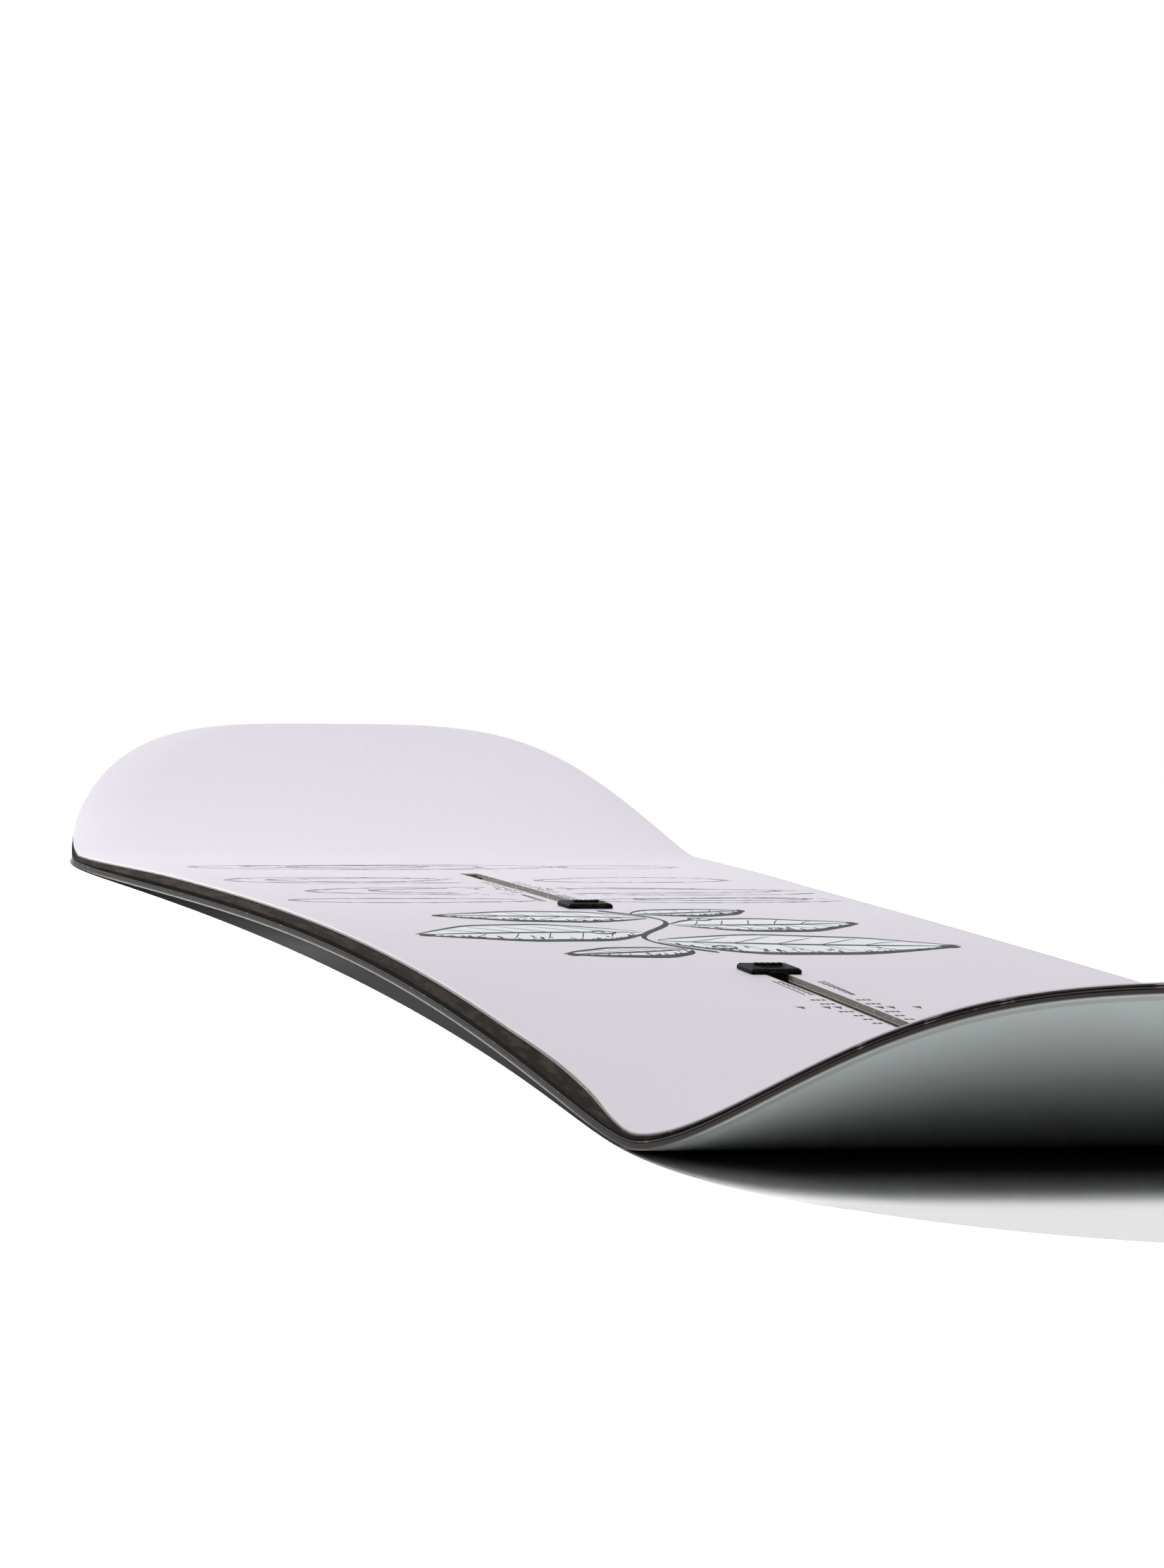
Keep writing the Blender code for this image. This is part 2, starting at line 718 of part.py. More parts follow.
def build():
    clear_scene()
    glass = make_material("fibreglass", (0.35, 0.36, 0.30), 0.5)
    wood = make_material("wood", (0.72, 0.55, 0.36), 0.7)
    build_base()
    build_steel_edges()
    build_edge_rubbers()
    build_lower_glass(glass)
    build_core(wood)
    build_sidewalls()
    build_tip_spacers()
    build_channels()
    build_upper_glass(glass)
    build_topsheet()
    build_plugs()


build()
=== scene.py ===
import json
import math
import random

import bpy
from mathutils import Matrix, Vector


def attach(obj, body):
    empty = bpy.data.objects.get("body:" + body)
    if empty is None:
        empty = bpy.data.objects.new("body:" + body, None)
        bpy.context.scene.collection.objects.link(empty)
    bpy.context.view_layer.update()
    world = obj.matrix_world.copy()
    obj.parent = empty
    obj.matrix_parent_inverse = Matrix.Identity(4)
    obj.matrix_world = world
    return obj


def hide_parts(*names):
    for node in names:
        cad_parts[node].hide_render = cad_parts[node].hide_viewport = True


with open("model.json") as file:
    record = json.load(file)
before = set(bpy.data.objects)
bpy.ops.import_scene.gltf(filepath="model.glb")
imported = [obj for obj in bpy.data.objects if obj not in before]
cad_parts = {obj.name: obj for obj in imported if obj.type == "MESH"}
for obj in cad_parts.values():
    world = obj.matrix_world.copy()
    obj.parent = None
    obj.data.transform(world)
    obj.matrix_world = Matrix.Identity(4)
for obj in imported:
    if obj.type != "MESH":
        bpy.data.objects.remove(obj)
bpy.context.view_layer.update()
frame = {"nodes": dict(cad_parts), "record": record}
print("frame loaded:", len(frame["nodes"]), "nodes")

# Shape of the board, as in the solids but for a wider slope on the sidewalls. Sizes are in metres.
board = {
    "length": 1.480,
    "waistWidth": 0.2505, "waistSetback": 0.0325,
    "sidecutEase": 16.0,
    "camber": 0.0053,
    "thickness": 0.0080,
    "tipThickness": 0.0040,
    "thinSpan": (0.349, 0.697),
    "bevelWidth": 0.0045, "bevelHeight": 0.0036, "bevelFade": 0.120,
    "bevelOverrun": (0.085, 0.026),  # past the widest point of the nose, and of the tail
    "bevelFlare": 0.0018,
    "flareAt": 0.440, "flareReach": 0.130,
    "spacerReach": 0.130,
    "seam": 0.00015,
}
nose = {
    "sign": -1,
    "width": 0.3015,
    "reach": 0.1820,
    "squareness": 3.88,
    "kick": 0.1655,
    "rise": 0.0571,
    "curl": 1.65,
}
tail = {
    "sign": 1,
    "width": 0.2910,
    "reach": 0.1640,
    "squareness": 4.44,
    "kick": 0.1745,
    "rise": 0.0568,
    "curl": 1.85,
}
# Heights of the layers before they are pressed, from the ground up
stack = {
    "base": 0.0013,
    "flangeFoot": 0.00135,
    "coreFoot": 0.0018,
    "edge": 0.0020,
    "rubberFoot": 0.00205, "rubberTop": 0.0022,
    "shoulder": 0.0027,
    "coreTop": 0.00705,
    "glassFoot": 0.0071, "glassTop": 0.0075,
    "topsheetFoot": 0.00755,
}
# Binding channels: the ledge and the groove are only here, and against the solids the rim is
# narrower and each wall has one rib fewer
channel = {
    "spacing": 0.2852,
    "length": 0.2500,
    "setback": 0.0048,
    "mouth": 0.0072,
    "width": 0.0240,
    "depth": 0.0051,
    "rim": 0.0004,
    "lip": 0.0029,
    "undercut": 0.0126,
    "ribs": 4, "ribRun": 0.0018, "ribSet": 0.0002, "ribDepth": 0.00026, "ribPoints": 6,
    "ledgeDepth": 0.00048, "ledgeFoot": 0.00192, "ledgeFront": 0.00014,
    "grooveFoot": 0.00276, "grooveDepth": 0.0010,
    "soft": 0.00012,
    "step": 0.010,
    "stopLength": 0.0150, "stopDrop": 0.0012, "stopFoot": 0.0018,
}
fine = {
    "tipSteps": 72,
    "middleSteps": 110,
    "rowsPerSide": 4,
    "slopeStep": 0.0001,
    "merge": 0.000002,
    "level": 0.00001,  # how near two places count as one
    "smoothAngle": 32,
    "softAngle": 25,
}

halfLength = board["length"] / 2
sides = {"left": -1, "right": 1}
channelSigns = {"front": -1, "rear": 1}


def clamp(value, low=0, high=1):
    return min(max(value, low), high)


def shareOf(value, span):
    # how far a value has gone from one end of a span to the other, from 0 to 1
    return clamp((value - span[0]) / (span[1] - span[0]))


def eased(share):
    return share * share * (3 - 2 * share)


def widestX(tip):
    return tip["sign"] * (halfLength - tip["reach"])


def halfWidth(x):
    tip = nose if x < board["waistSetback"] else tail
    share = (x - board["waistSetback"]) / (widestX(tip) - board["waistSetback"])
    if share <= 1:
        ease = board["sidecutEase"]
        swell = (ease * share**2 - 2 * share**ease) / (ease - 2)
        return (board["waistWidth"] + (tip["width"] - board["waistWidth"]) * swell) / 2
    past = min((x - widestX(tip)) / (tip["sign"] * tip["reach"]), 1)
    return tip["width"] / 2 * (1 - past**2) ** (1 / tip["squareness"])


def slotEnds(sign):
    start = channel["setback"] + sign * channel["spacing"] / 2
    return start, start + sign * channel["length"]


def profileHeight(x):
    noseContact = nose["kick"] - halfLength
    tailContact = halfLength - tail["kick"]
    middle = (noseContact + tailContact) / 2
    share = min(abs(x - middle) / (tailContact - middle), 1)
    height = board["camber"] * (1 - share**2) ** 2
    for tip in (nose, tail):
        past = (x * tip["sign"] - (halfLength - tip["kick"])) / tip["kick"]
        if past > 0:
            height += tip["rise"] * min(past, 1) ** tip["curl"]
    return height


def profileSlope(x):
    low = max(x - fine["slopeStep"], -halfLength)
    high = min(x + fine["slopeStep"], halfLength)
    return math.atan2(profileHeight(high) - profileHeight(low), high - low)


def pressed(x, y, z):
    # where a point of the flat stack lies once the board is pressed to its curve
    full = stack["coreTop"] - stack["shoulder"]
    thinning = eased(shareOf(abs(x), board["thinSpan"]))
    lost = thinning * (board["thickness"] - board["tipThickness"]) / full
    height = z - clamp(z - stack["shoulder"], 0, full) * lost
    slope = profileSlope(x)
    return Vector((x - math.sin(slope) * height, y, profileHeight(x) + math.cos(slope) * height))


def bevelInset(x, z):
    # how far the sidewall's slope has come in at a height
    climb = (z - board["thickness"] + board["bevelHeight"]) / board["bevelHeight"]
    noseOverrun, tailOverrun = board["bevelOverrun"]
    room = min(x - widestX(nose) + noseOverrun, widestX(tail) - x + tailOverrun)
    flare = max(1 - abs(x - board["flareAt"]) / board["flareReach"], 0)
    width = board["bevelWidth"] + board["bevelFlare"] * eased(flare)
    return width * clamp(climb) * eased(clamp(room / board["bevelFade"]))


def makeSideLine():
    # the right side from nose to tail: x, y, the direction out of the board, and the run so far
    places = []
    for tip in (nose, tail):
        for step in range(fine["tipSteps"] + 1):
            turn = math.pi / 2 * step / fine["tipSteps"]
            across = 0 if step == fine["tipSteps"] else math.cos(turn) ** (2 / tip["squareness"])
            x = widestX(tip) + tip["sign"] * tip["reach"] * math.sin(turn)
            places.append((x, tip["width"] / 2 * across))
    start = widestX(nose)
    pitch = (widestX(tail) - start) / fine["middleSteps"]
    middle = [start + pitch * step for step in range(1, fine["middleSteps"])]
    ends = [end for sign in channelSigns.values() for end in slotEnds(sign)]
    middle = [x for x in middle if min(abs(x - end) for end in ends) > pitch / 4] + ends
    places = sorted(places + [(x, halfWidth(x)) for x in middle])
    line = []
    run = 0
    for index, (x, y) in enumerate(places):
        before = places[max(index - 1, 0)]
        after = places[min(index + 1, len(places) - 1)]
        out = Vector((before[1] - after[1], after[0] - before[0])) / math.dist(before, after)
        if index in (0, len(places) - 1):
            out = Vector((math.copysign(1, x), 0))
        run += math.dist(before, (x, y))
        line.append((x, y, out.x, out.y, run))
    return line


sideLine = makeSideLine()


def lineBetween(low, high):
    # a stretch of the side, cut square across where it stops short of a tip
    inside = [point for point in sideLine if low < point[0] < high]
    if low > -halfLength:
        inside.insert(0, (low, halfWidth(low), 0, 1, inside[0][4] - (inside[0][0] - low)))
    if high < halfLength:
        inside.append((high, halfWidth(high), 0, 1, inside[-1][4] + high - inside[-1][0]))
    return inside


# Modelling

def activate(piece):
    bpy.ops.object.select_all(action="DESELECT")
    piece.select_set(True)
    bpy.context.view_layer.objects.active = piece


def openMesh(piece, action="SELECT", kind="FACE"):
    # opens one piece for editing, with all of it or none of it selected
    activate(piece)
    bpy.ops.object.mode_set(mode="EDIT")
    bpy.ops.mesh.select_mode(type=kind)
    bpy.ops.mesh.select_all(action=action)


def leaveMesh():
    bpy.ops.object.mode_set(mode="OBJECT")


def nameNew(name):
    piece = bpy.context.object
    piece.name = name
    piece.data.name = name
    return piece


def applyPlace():
    bpy.ops.object.transform_apply(location=True, rotation=True, scale=True)


def applyModifier(piece, kind, **settings):
    activate(piece)
    modifier = piece.modifiers.new(kind, kind)
    for name, value in settings.items():
        setattr(modifier, name, value)
    bpy.ops.object.modifier_apply(modifier=modifier.name)


def addGrid(name, columns, rows):
    # a flat grid whose points sit at whole numbers: x counts its columns and y its rows
    bpy.ops.object.select_all(action="DESELECT")
    bpy.ops.mesh.primitive_grid_add(x_subdivisions=columns, y_subdivisions=rows, size=2)
    piece = nameNew(name)
    for vert in piece.data.vertices:
        x, y, z = vert.co
        vert.co = (round((x + 1) / 2 * columns), round((y + 1) / 2 * rows), 0)
    return piece


def closeMesh(piece, angle=fine["smoothAngle"]):
    # merges doubles, closes holes, turns the faces out and smooths what is round
    openMesh(piece)
    bpy.ops.mesh.remove_doubles(threshold=fine["merge"])
    bpy.ops.mesh.fill_holes(sides=0)
    bpy.ops.mesh.select_all(action="SELECT")
    bpy.ops.mesh.normals_make_consistent(inside=False)
    leaveMesh()
    bpy.ops.object.shade_smooth_by_angle(angle=math.radians(angle))


def selectFaces(piece, wanted):
    # selects the faces that pass a test, and nothing else
    openMesh(piece, "DESELECT")
    leaveMesh()
    for face in piece.data.polygons:
        face.select = wanted(face)
    bpy.ops.object.mode_set(mode="EDIT")


def removeFaces(piece, unwanted):
    selectFaces(piece, unwanted)
    bpy.ops.mesh.delete(type="FACE")
    leaveMesh()


def addStrip(name, line, section, sign):
    # a closed section of (inset, height, extra inset) swept along a stretch of the side
    piece = addGrid(name, len(line) - 1, len(section))
    lengths = [0]
    for here, after in zip(section, section[1:] + section[:1]):
        lengths.append(lengths[-1] + math.dist(here[:2], after[:2]))
    strips = piece.data.uv_layers.active.data
    for loop in piece.data.loops:
        column, row, level = piece.data.vertices[loop.vertex_index].co
        strips[loop.index].uv = (line[round(column)][4], lengths[round(row)])
    for vert in piece.data.vertices:
        x, y, outX, outY, run = line[round(vert.co.x)]
        inset, z, extra = section[round(vert.co.y) % len(section)]
        depth = max(inset, bevelInset(x, z)) + extra
        vert.co = pressed(x - outX * depth, sign * (y - outY * depth), z)
    closeMesh(piece)
    return piece


def addSheet(name, rings, line=sideLine, slots=False):
    # a sheet from side to side: rings of (inset, height, extra inset) from its underside up
    half = fine["rowsPerSide"]
    piece = addGrid(name, len(line) - 1, 2 * half + 1)
    spans = [sorted(slotEnds(sign)) for sign in channelSigns.values()]

    def isInSlot(face):
        x = (line[math.floor(face.center.x)][0] + line[math.ceil(face.center.x)][0]) / 2
        inMiddleRow = abs(face.center.y - half - 0.5) < 0.5
        return inMiddleRow and any(low < x < high for low, high in spans)

    if slots:
        removeFaces(piece, isInSlot)
    openMesh(piece)
    for ring in rings[1:]:
        bpy.ops.mesh.extrude_region_move(TRANSFORM_OT_translate={"value": (0, 0, 1)})
    leaveMesh()
    slotHalf = channel["mouth"] / 2 + channel["rim"] + board["seam"]
    for vert in piece.data.vertices:
        x, y, outX, outY, run = line[round(vert.co.x)]
        row = round(vert.co.y)
        inset, z, extra = rings[round(vert.co.z)]
        sign = -1 if row <= half else 1
        share = (abs(row - half - 0.5) - 0.5) / half
        depth = max(inset, bevelInset(x, z)) + extra
        rim = max(y - outY * depth, 0)
        near = min(slotHalf + extra, rim / 4)
        shift = share if abs(x) < halfLength - nose["kick"] else 1
        vert.co = pressed(x - outX * depth * shift, sign * (near + (rim - near) * share), z)
    closeMesh(piece)
    return piece


def addRun(name, halfSection, low, high):
    # a section of (y, height), given for one half, that runs along the board
    section = halfSection + [(-y, z) for y, z in reversed(halfSection)]
    columns = max(round((high - low) / channel["step"]), 1)
    piece = addGrid(name, columns, len(section))
    for vert in piece.data.vertices:
        y, z = section[round(vert.co.y) % len(section)]
        vert.co = pressed(low + (high - low) * vert.co.x / columns, y, z)
    closeMesh(piece)
    return piece


def dress(piece, slotName, node=None, body="board", material=None):
    # gives a finished piece its material, picked by its slot's name unless one is given, puts it in
    # its body, and hides the node that it stands for
    piece.data.materials.clear()
    piece.data.materials.append(material or looks[slotName])
    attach(piece, body)
    if node:
        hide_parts(node)


# Materials

noiseSpan = (0.3, 0.7)  # where most of a noise lies
toneSpan = (0.35, 0.65)  # where the dark and the pale tone of a two-tone noise lie


def feed(material, socket, value):
    # links a socket to a node's output, or gives it a fixed value
    if isinstance(value, bpy.types.NodeSocket):
        material.node_tree.links.new(value, socket)
    else:
        socket.default_value = (*value, 1) if socket.type == "RGBA" else value


def addNode(material, kind, inputs=None, **settings):
    node = material.node_tree.nodes.new("ShaderNode" + kind)
    for name, value in settings.items():
        setattr(node, name, value)
    for name, value in (inputs or {}).items():
        feed(material, node.inputs[name], value)
    return node


def addAxis(material, axis, source="Object"):
    # one coordinate: on UV, X follows a strip's run and Y goes round its section
    where = addNode(material, "TexCoord").outputs[source]
    return addNode(material, "SeparateXYZ", {"Vector": where}).outputs[axis]


def addNoise(material, source, scale, detail, roughness):
    # one scale, or a scale for each axis
    scales = scale if isinstance(scale, tuple) else (scale, scale, scale)
    where = addNode(material, "TexCoord").outputs[source]
    where = addNode(material, "Mapping", {"Vector": where, "Scale": scales}).outputs["Vector"]
    inputs = {"Vector": where, "Scale": 1, "Detail": detail, "Roughness": roughness}
    return addNode(material, "TexNoise", inputs).outputs["Fac"]


def addRange(material, value, span, results=(0, 1)):
    # goes from one result to the other as a value goes from one end of a span to the other
    inputs = dict(zip(("From Min", "From Max", "To Min", "To Max"), (*span, *results)))
    return addNode(material, "MapRange", {"Value": value, **inputs}).outputs["Result"]


def addSteps(material, factor, stops):
    # a colour ramp: stops of (place, colour)
    ramp = addNode(material, "ValToRGB", {"Fac": factor})
    elements = ramp.color_ramp.elements
    while len(elements) < len(stops):
        elements.new(0.5)
    for element, (place, color) in zip(elements, stops):
        element.position = place
        element.color = (*color, 1)
    return ramp.outputs["Color"]


def addMath(material, operation, first, second):
    return addNode(material, "Math", {0: first, 1: second}, operation=operation).outputs["Value"]


def blend(material, factor, first, second):
    return addNode(material, "Mix", {"Factor": factor, "A": first, "B": second}).outputs["Result"]


def addMix(material, factor, first, second, kind="MIX"):
    inputs = {0: factor, 6: first, 7: second}  # the colour sockets have these numbers
    return addNode(material, "Mix", inputs, data_type="RGBA", blend_type=kind).outputs[2]


def multiply(material, first, second):
    return addMix(material, 1, first, second, "MULTIPLY")


def addPaintedTipShade(material, color, look):
    # paints shade round the tips: turns a colour dark over a span of x
    x = addAxis(material, "X")
    for span in look["tipShadeSpans"]:
        color = addMix(material, addRange(material, x, span), color, look["tip"])
    return color


def startMaterial(name, look):
    material = bpy.data.materials.new(name)
    material.use_nodes = True
    inputs = material.node_tree.nodes["Principled BSDF"].inputs
    feed(material, inputs["Base Color"], look["color"])
    feed(material, inputs["Roughness"], look["roughness"])
    feed(material, inputs["Metallic"], look.get("metallic", 0))
    feed(material, inputs["Specular IOR Level"], look.get("specular", 0.5))
    return material


def finishSurface(material, look, height, color, roughness=None, metallic=None):
    distance, strength = look["bump"]
    bump = addNode(material, "Bump", {"Height": height, "Distance": distance, "Strength": strength})
    outputs = {"Base Color": color, "Normal": bump.outputs["Normal"]}
    outputs.update({"Roughness": roughness, "Metallic": metallic})
    for name, output in outputs.items():
        if output is not None:
            feed(material, material.node_tree.nodes["Principled BSDF"].inputs[name], output)
    return material


def makeFinish(name, look):
    # shades on one noise, and where the look has them a tone over the shades and a roughness range
    material = startMaterial(name, look)
    noises = {kind: addNoise(material, *look[kind]) for kind in ("grain", "clouds") if kind in look}

    def step(kind, stops):
        return addSteps(material, noises[kind], stops)

    color = step(*look["shades"])
    if "tone" in look:
        color = multiply(material, color, step(*look["tone"]))
    roughness = None
    if "polish" in look:
        kind, span = look["polish"]
        roughness = addRange(material, noises[kind], noiseSpan, span)
    return finishSurface(material, look, noises["grain"], color, roughness)


topsheetLook = {
    "color": (0.652, 0.607, 0.684),
    "roughness": 0.42,
    "grain": ("Object", 2600, 2, 0.6),
    "clouds": ("Object", 9, 3, 0.5),
    "shades": ("grain", (
        (0.36, (0.597, 0.553, 0.630)),
        (0.50, (0.652, 0.607, 0.684)),
        (0.64, (0.697, 0.653, 0.728)),
    )),
    "tone": ("clouds", ((0.3, (0.975, 0.972, 0.978)), (0.7, (1, 1, 1)))),
    "polish": ("clouds", (0.39, 0.46)),
    "bump": (0.00002, 0.6),
}
# Smooth sintered sheet, with only a trace of the stone grind's lines along it
baseLook = {
    "color": (0.765, 0.83, 0.825),
    "roughness": 0.36,
    "grain": ("Object", (6, 1900, 6), 3, 0.6),
    "clouds": ("Object", 14, 4, 0.55),
    "shades": ("clouds", (
        (0.32, (0.73, 0.79, 0.785)),
        (0.50, (0.765, 0.83, 0.825)),
        (0.68, (0.79, 0.855, 0.85)),
    )),
    "polish": ("grain", (0.34, 0.38)),
    "bump": (0.000004, 0.25),
}
rubberLook = {
    "color": (0.012, 0.012, 0.012),
    "roughness": 0.8,
    "grain": ("Object", 1500, 3, 0.6),
    "shades": ("grain", ((0.35, (0.008, 0.008, 0.008)), (0.65, (0.02, 0.02, 0.019)))),
    "bump": (0.00003, 0.5),
}
woodLook = {
    "color": (0.60, 0.43, 0.26),
    "roughness": 0.6,
    "grain": ("Object", (12, 420, 420), 5, 0.6),
    "clouds": ("Object", (3, 90, 90), 3, 0.5),
    "shades": ("grain", (
        (0.30, (0.46, 0.31, 0.17)),
        (0.55, (0.60, 0.43, 0.26)),
        (0.80, (0.70, 0.54, 0.36)),
    )),
    "tone": ("clouds", ((0.35, (0.82, 0.80, 0.78)), (0.65, (1, 1, 1)))),
    "bump": (0.00005, 0.5),
}
plugLook = {
    "color": (0.009, 0.009, 0.009),
    "roughness": 0.5,
    "specular": 0.02,
    "grain": ("Object", 2600, 3, 0.6),
    "clouds": ("Object", 420, 4, 0.6),
    "shades": ("clouds", ((0.45, (0.0040, 0.0040, 0.0040)), (0.75, (0.017, 0.0155, 0.0145)))),
    "polish": ("grain", (0.42, 0.60)),
    "bump": (0.00004, 0.8),
}
steelLook = {
    "color": (0.40, 0.40, 0.41),
    "roughness": 0.34,
    "metallic": 1,
    "streaks": ("UV", (40, 9000, 1), 4, 0.6),
    "spots": ("UV", (160, 1400, 1), 5, 0.66),
    "brushed": ((0.3, (0.34, 0.34, 0.343)), (0.7, (0.54, 0.54, 0.547))),
    "worn": ((0.34, (0.52, 0.49, 0.46)), (0.50, (0.86, 0.85, 0.83)), (0.62, (1, 1, 1))),
    "polish": (0.24, 0.36),
    # painted shade over the upper face: its span round the section, its tint and its roughness
    "shadedSpan": (0.00042, 0.00092), "shadedTint": (0.13, 0.122, 0.117), "shadedRoughness": 0.75,
    # painted shade: the edge turns dark round the tips
    "tip": (0.040, 0.034, 0.031),
    "tipShadeSpans": ((-0.46, -0.55), (0.50, 0.62)),
    "undersideSpan": (0.0157, 0.0158),
    "tailFootSpan": (0.0010, 0.0004), "tailSpan": (0.60, 0.66),
    "paleColor": (0.57, 0.61, 0.60), "paleRoughness": 0.5,
    "bump": (0.00001, 0.5),
}


def makeSteel():
    # ground edge, brushed along its run and worn darker in places: bright along its foot, with
    # painted shade above, where the face is made dark, rough and not metal
    look = steelLook
    material = startMaterial("groundSteel", look)
    streaks = addNoise(material, *look["streaks"])
    brushed = addSteps(material, streaks, look["brushed"])
    worn = addSteps(material, addNoise(material, *look["spots"]), look["worn"])
    color = multiply(material, brushed, worn)
    level = addAxis(material, "Y", "UV")
    # painted shade: above its foot the face is darkened, roughened and turned from metal
    shading = addRange(material, level, look["shadedSpan"])
    color = addMix(material, shading, color, multiply(material, color, look["shadedTint"]))
    # painted shade round the tips
    color = addPaintedTipShade(material, color, look)
    # the underside, and the lowest part of the face round the tail, are made a pale rough colour like
    # the base's, and not metal
    underside = addRange(material, level, look["undersideSpan"])
    lowest = addRange(material, level, look["tailFootSpan"])
    atTail = addRange(material, addAxis(material, "X"), look["tailSpan"])
    paled = addMath(material, "MAXIMUM", underside, addMath(material, "MULTIPLY", lowest, atTail))
    color = addMix(material, paled, color, look["paleColor"])
    polish = addRange(material, streaks, noiseSpan, look["polish"])
    polish = blend(material, shading, polish, look["shadedRoughness"])
    polish = blend(material, paled, polish, look["paleRoughness"])
    metal = addRange(material, addMath(material, "MAXIMUM", paled, shading), (1, 0))
    return finishSurface(material, look, streaks, color, polish, metal)


sidewallLook = {
    "color": (0.024, 0.017, 0.0142),
    "roughness": 0.7,
    "specular": 0.01,
    "mottle": ("UV", (30, 420, 1), 4, 0.62),
    "marks": ("UV", (1500, 20, 1), 2, 0.5),
    "shades": (
        (0.42, (0.0095, 0.0062, 0.0050)),
        (0.50, (0.024, 0.0170, 0.0142)),
        (0.58, (0.054, 0.0400, 0.0345)),
    ),
    "scored": ((0.35, (0.86, 0.86, 0.86)), (0.6, (1, 1, 1))),
    "polish": (0.58, 0.72),
    "slopeSpan": (0.0096, 0.0099),
    "flank": (0.36, 0.35, 0.35),
    # painted shade: the rim turns near black round the nose
    "tip": (0.014, 0.0125, 0.012),
    "tipShadeSpans": ((-0.54, -0.60),),
    "bump": (0.00003, 0.4),
}


def makeSidewall():
    # dark milled plastic: a paler mottled slope over a darker flank, with faint cutter marks
    look = sidewallLook
    material = startMaterial("milledSidewall", look)
    mottle = addNoise(material, *look["mottle"])
    marks = addNoise(material, *look["marks"])
    color = addSteps(material, mottle, look["shades"])
    # the strip's section starts at its inner foot, so the flank ends where the slope begins
    slopeShare = addRange(material, addAxis(material, "Y", "UV"), look["slopeSpan"])
    color = addMix(material, slopeShare, multiply(material, color, look["flank"]), color)
    # painted shade round the nose
    color = addPaintedTipShade(material, color, look)
    color = multiply(material, color, addSteps(material, marks, look["scored"]))
    polish = addRange(material, mottle, noiseSpan, look["polish"])
    return finishSurface(material, look, marks, color, polish)


glassLook = {
    "cloths": {
        "fibreglass": ((0.11, 0.115, 0.105), (0.21, 0.22, 0.20)),
        "soakedGlass": ((0.030, 0.026, 0.023), (0.070, 0.062, 0.056)),
    },
    "roughness": 0.5,
    "specular": 0.25,
    "strands": ("Object", (700, 60, 700), 4, 0.6),
    "ends": ("Object", 90, 4, 0.6),
    "spotted": ((0.52, (1, 1, 1)), (0.66, (0.82, 0.62, 0.56))),
    # painted shade round the tips
    "tip": (0.052, 0.045, 0.042),
    "tipShadeSpans": ((-0.46, -0.56), (0.58, 0.63)),
    # pale pinkish specks, partly fibre ends and partly a painted highlight for glints along the rim
    "speckGlint": (0.36, 0.27, 0.245), "speckGlintSpan": (0.60, 0.68),
    "bump": (0.00003, 0.5),
}


def makeFibreglass(name):
    # resin-bound cloth, with brownish-pink spots where fibre ends show
    look = glassLook
    low, high = look["cloths"][name]
    material = startMaterial(name, {**look, "color": low})
    strands = addNoise(material, *look["strands"])
    ends = addNoise(material, *look["ends"])
    color = addSteps(material, strands, list(zip(toneSpan, (low, high))))
    color = multiply(material, color, addSteps(material, ends, look["spotted"]))
    # painted shade: the cloth is turned dark round the tips, where the rim lies in shade
    color = addPaintedTipShade(material, color, look)
    # pale pinkish specks over the cloth: partly fibre ends, partly painted highlight
    color = addMix(material, addRange(material, ends, look["speckGlintSpan"]), color, look["speckGlint"])
    return finishSurface(material, look, strands, color)


railLook = {
    "color": (0.56, 0.47, 0.42),
    "roughness": 0.55,
    "specular": 0.25,
    "streaks": ("Object", (60, 2600, 2600), 4, 0.6),
    "nicks": ("Object", (260, 900, 900), 2, 0.5),
    "shades": (
        (0.3, (0.31, 0.26, 0.225)),
        (0.6, (0.43, 0.368, 0.325)),
        (0.8, (0.54, 0.47, 0.42)),
    ),
    "nick": (0.84, 0.82, 0.78), "nickSpan": (0.64, 0.70),
    # painted highlight on the ledge and the lip's faces
    "ledge": (0.86, 0.865, 0.86),
    "ledgeClear": (0.00002, 0.00004),  # how far it stands in front of the ribs
    "bump": (0.00004, 0.5),
}


def makeRail():
    # grey-brown filled nylon, drawn lengthwise, with pale nicks
    look = railLook
    material = startMaterial("channelRail", look)
    streaks = addNoise(material, *look["streaks"])
    nicks = addNoise(material, *look["nicks"])
    color = addSteps(material, streaks, look["shades"])
    color = addMix(material, addRange(material, nicks, look["nickSpan"]), color, look["nick"])
    # painted highlight: the ledge below the ribs, which stands out further into the mouth, and the
    # lip's faces are painted pale
    across = addMath(material, "ABSOLUTE", addAxis(material, "Y"), 0)
    ribs = channel["mouth"] / 2 + channel["ribSet"]
    ledge = addRange(material, across, [ribs - clear for clear in look["ledgeClear"]])
    color = addMix(material, ledge, color, look["ledge"])
    return finishSurface(material, look, streaks, color)


looks = {
    "topsheet": makeFinish("topsheetSatin", topsheetLook),
    "base": makeFinish("sinteredBase", baseLook),
    "steel_edge": makeSteel(),
    "sidewall": makeSidewall(),
    "fibreglass": makeFibreglass("fibreglass"),
    "rubber": makeFinish("edgeRubber", rubberLook),
    "wood": makeFinish("coreWood", woodLook),
    "channel_rail": makeRail(),
    "plug": makeFinish("plugPlastic", plugLook),
}

for entry in frame["record"]["subparts"]:
    node = frame["nodes"][entry["node"]]
    node.data.materials.clear()
    node.data.materials.append(looks[entry["material_slot"]])
soakedGlass = makeFibreglass("soakedGlass")
print("materials made:", len(looks) + 1)

# Layers of the board

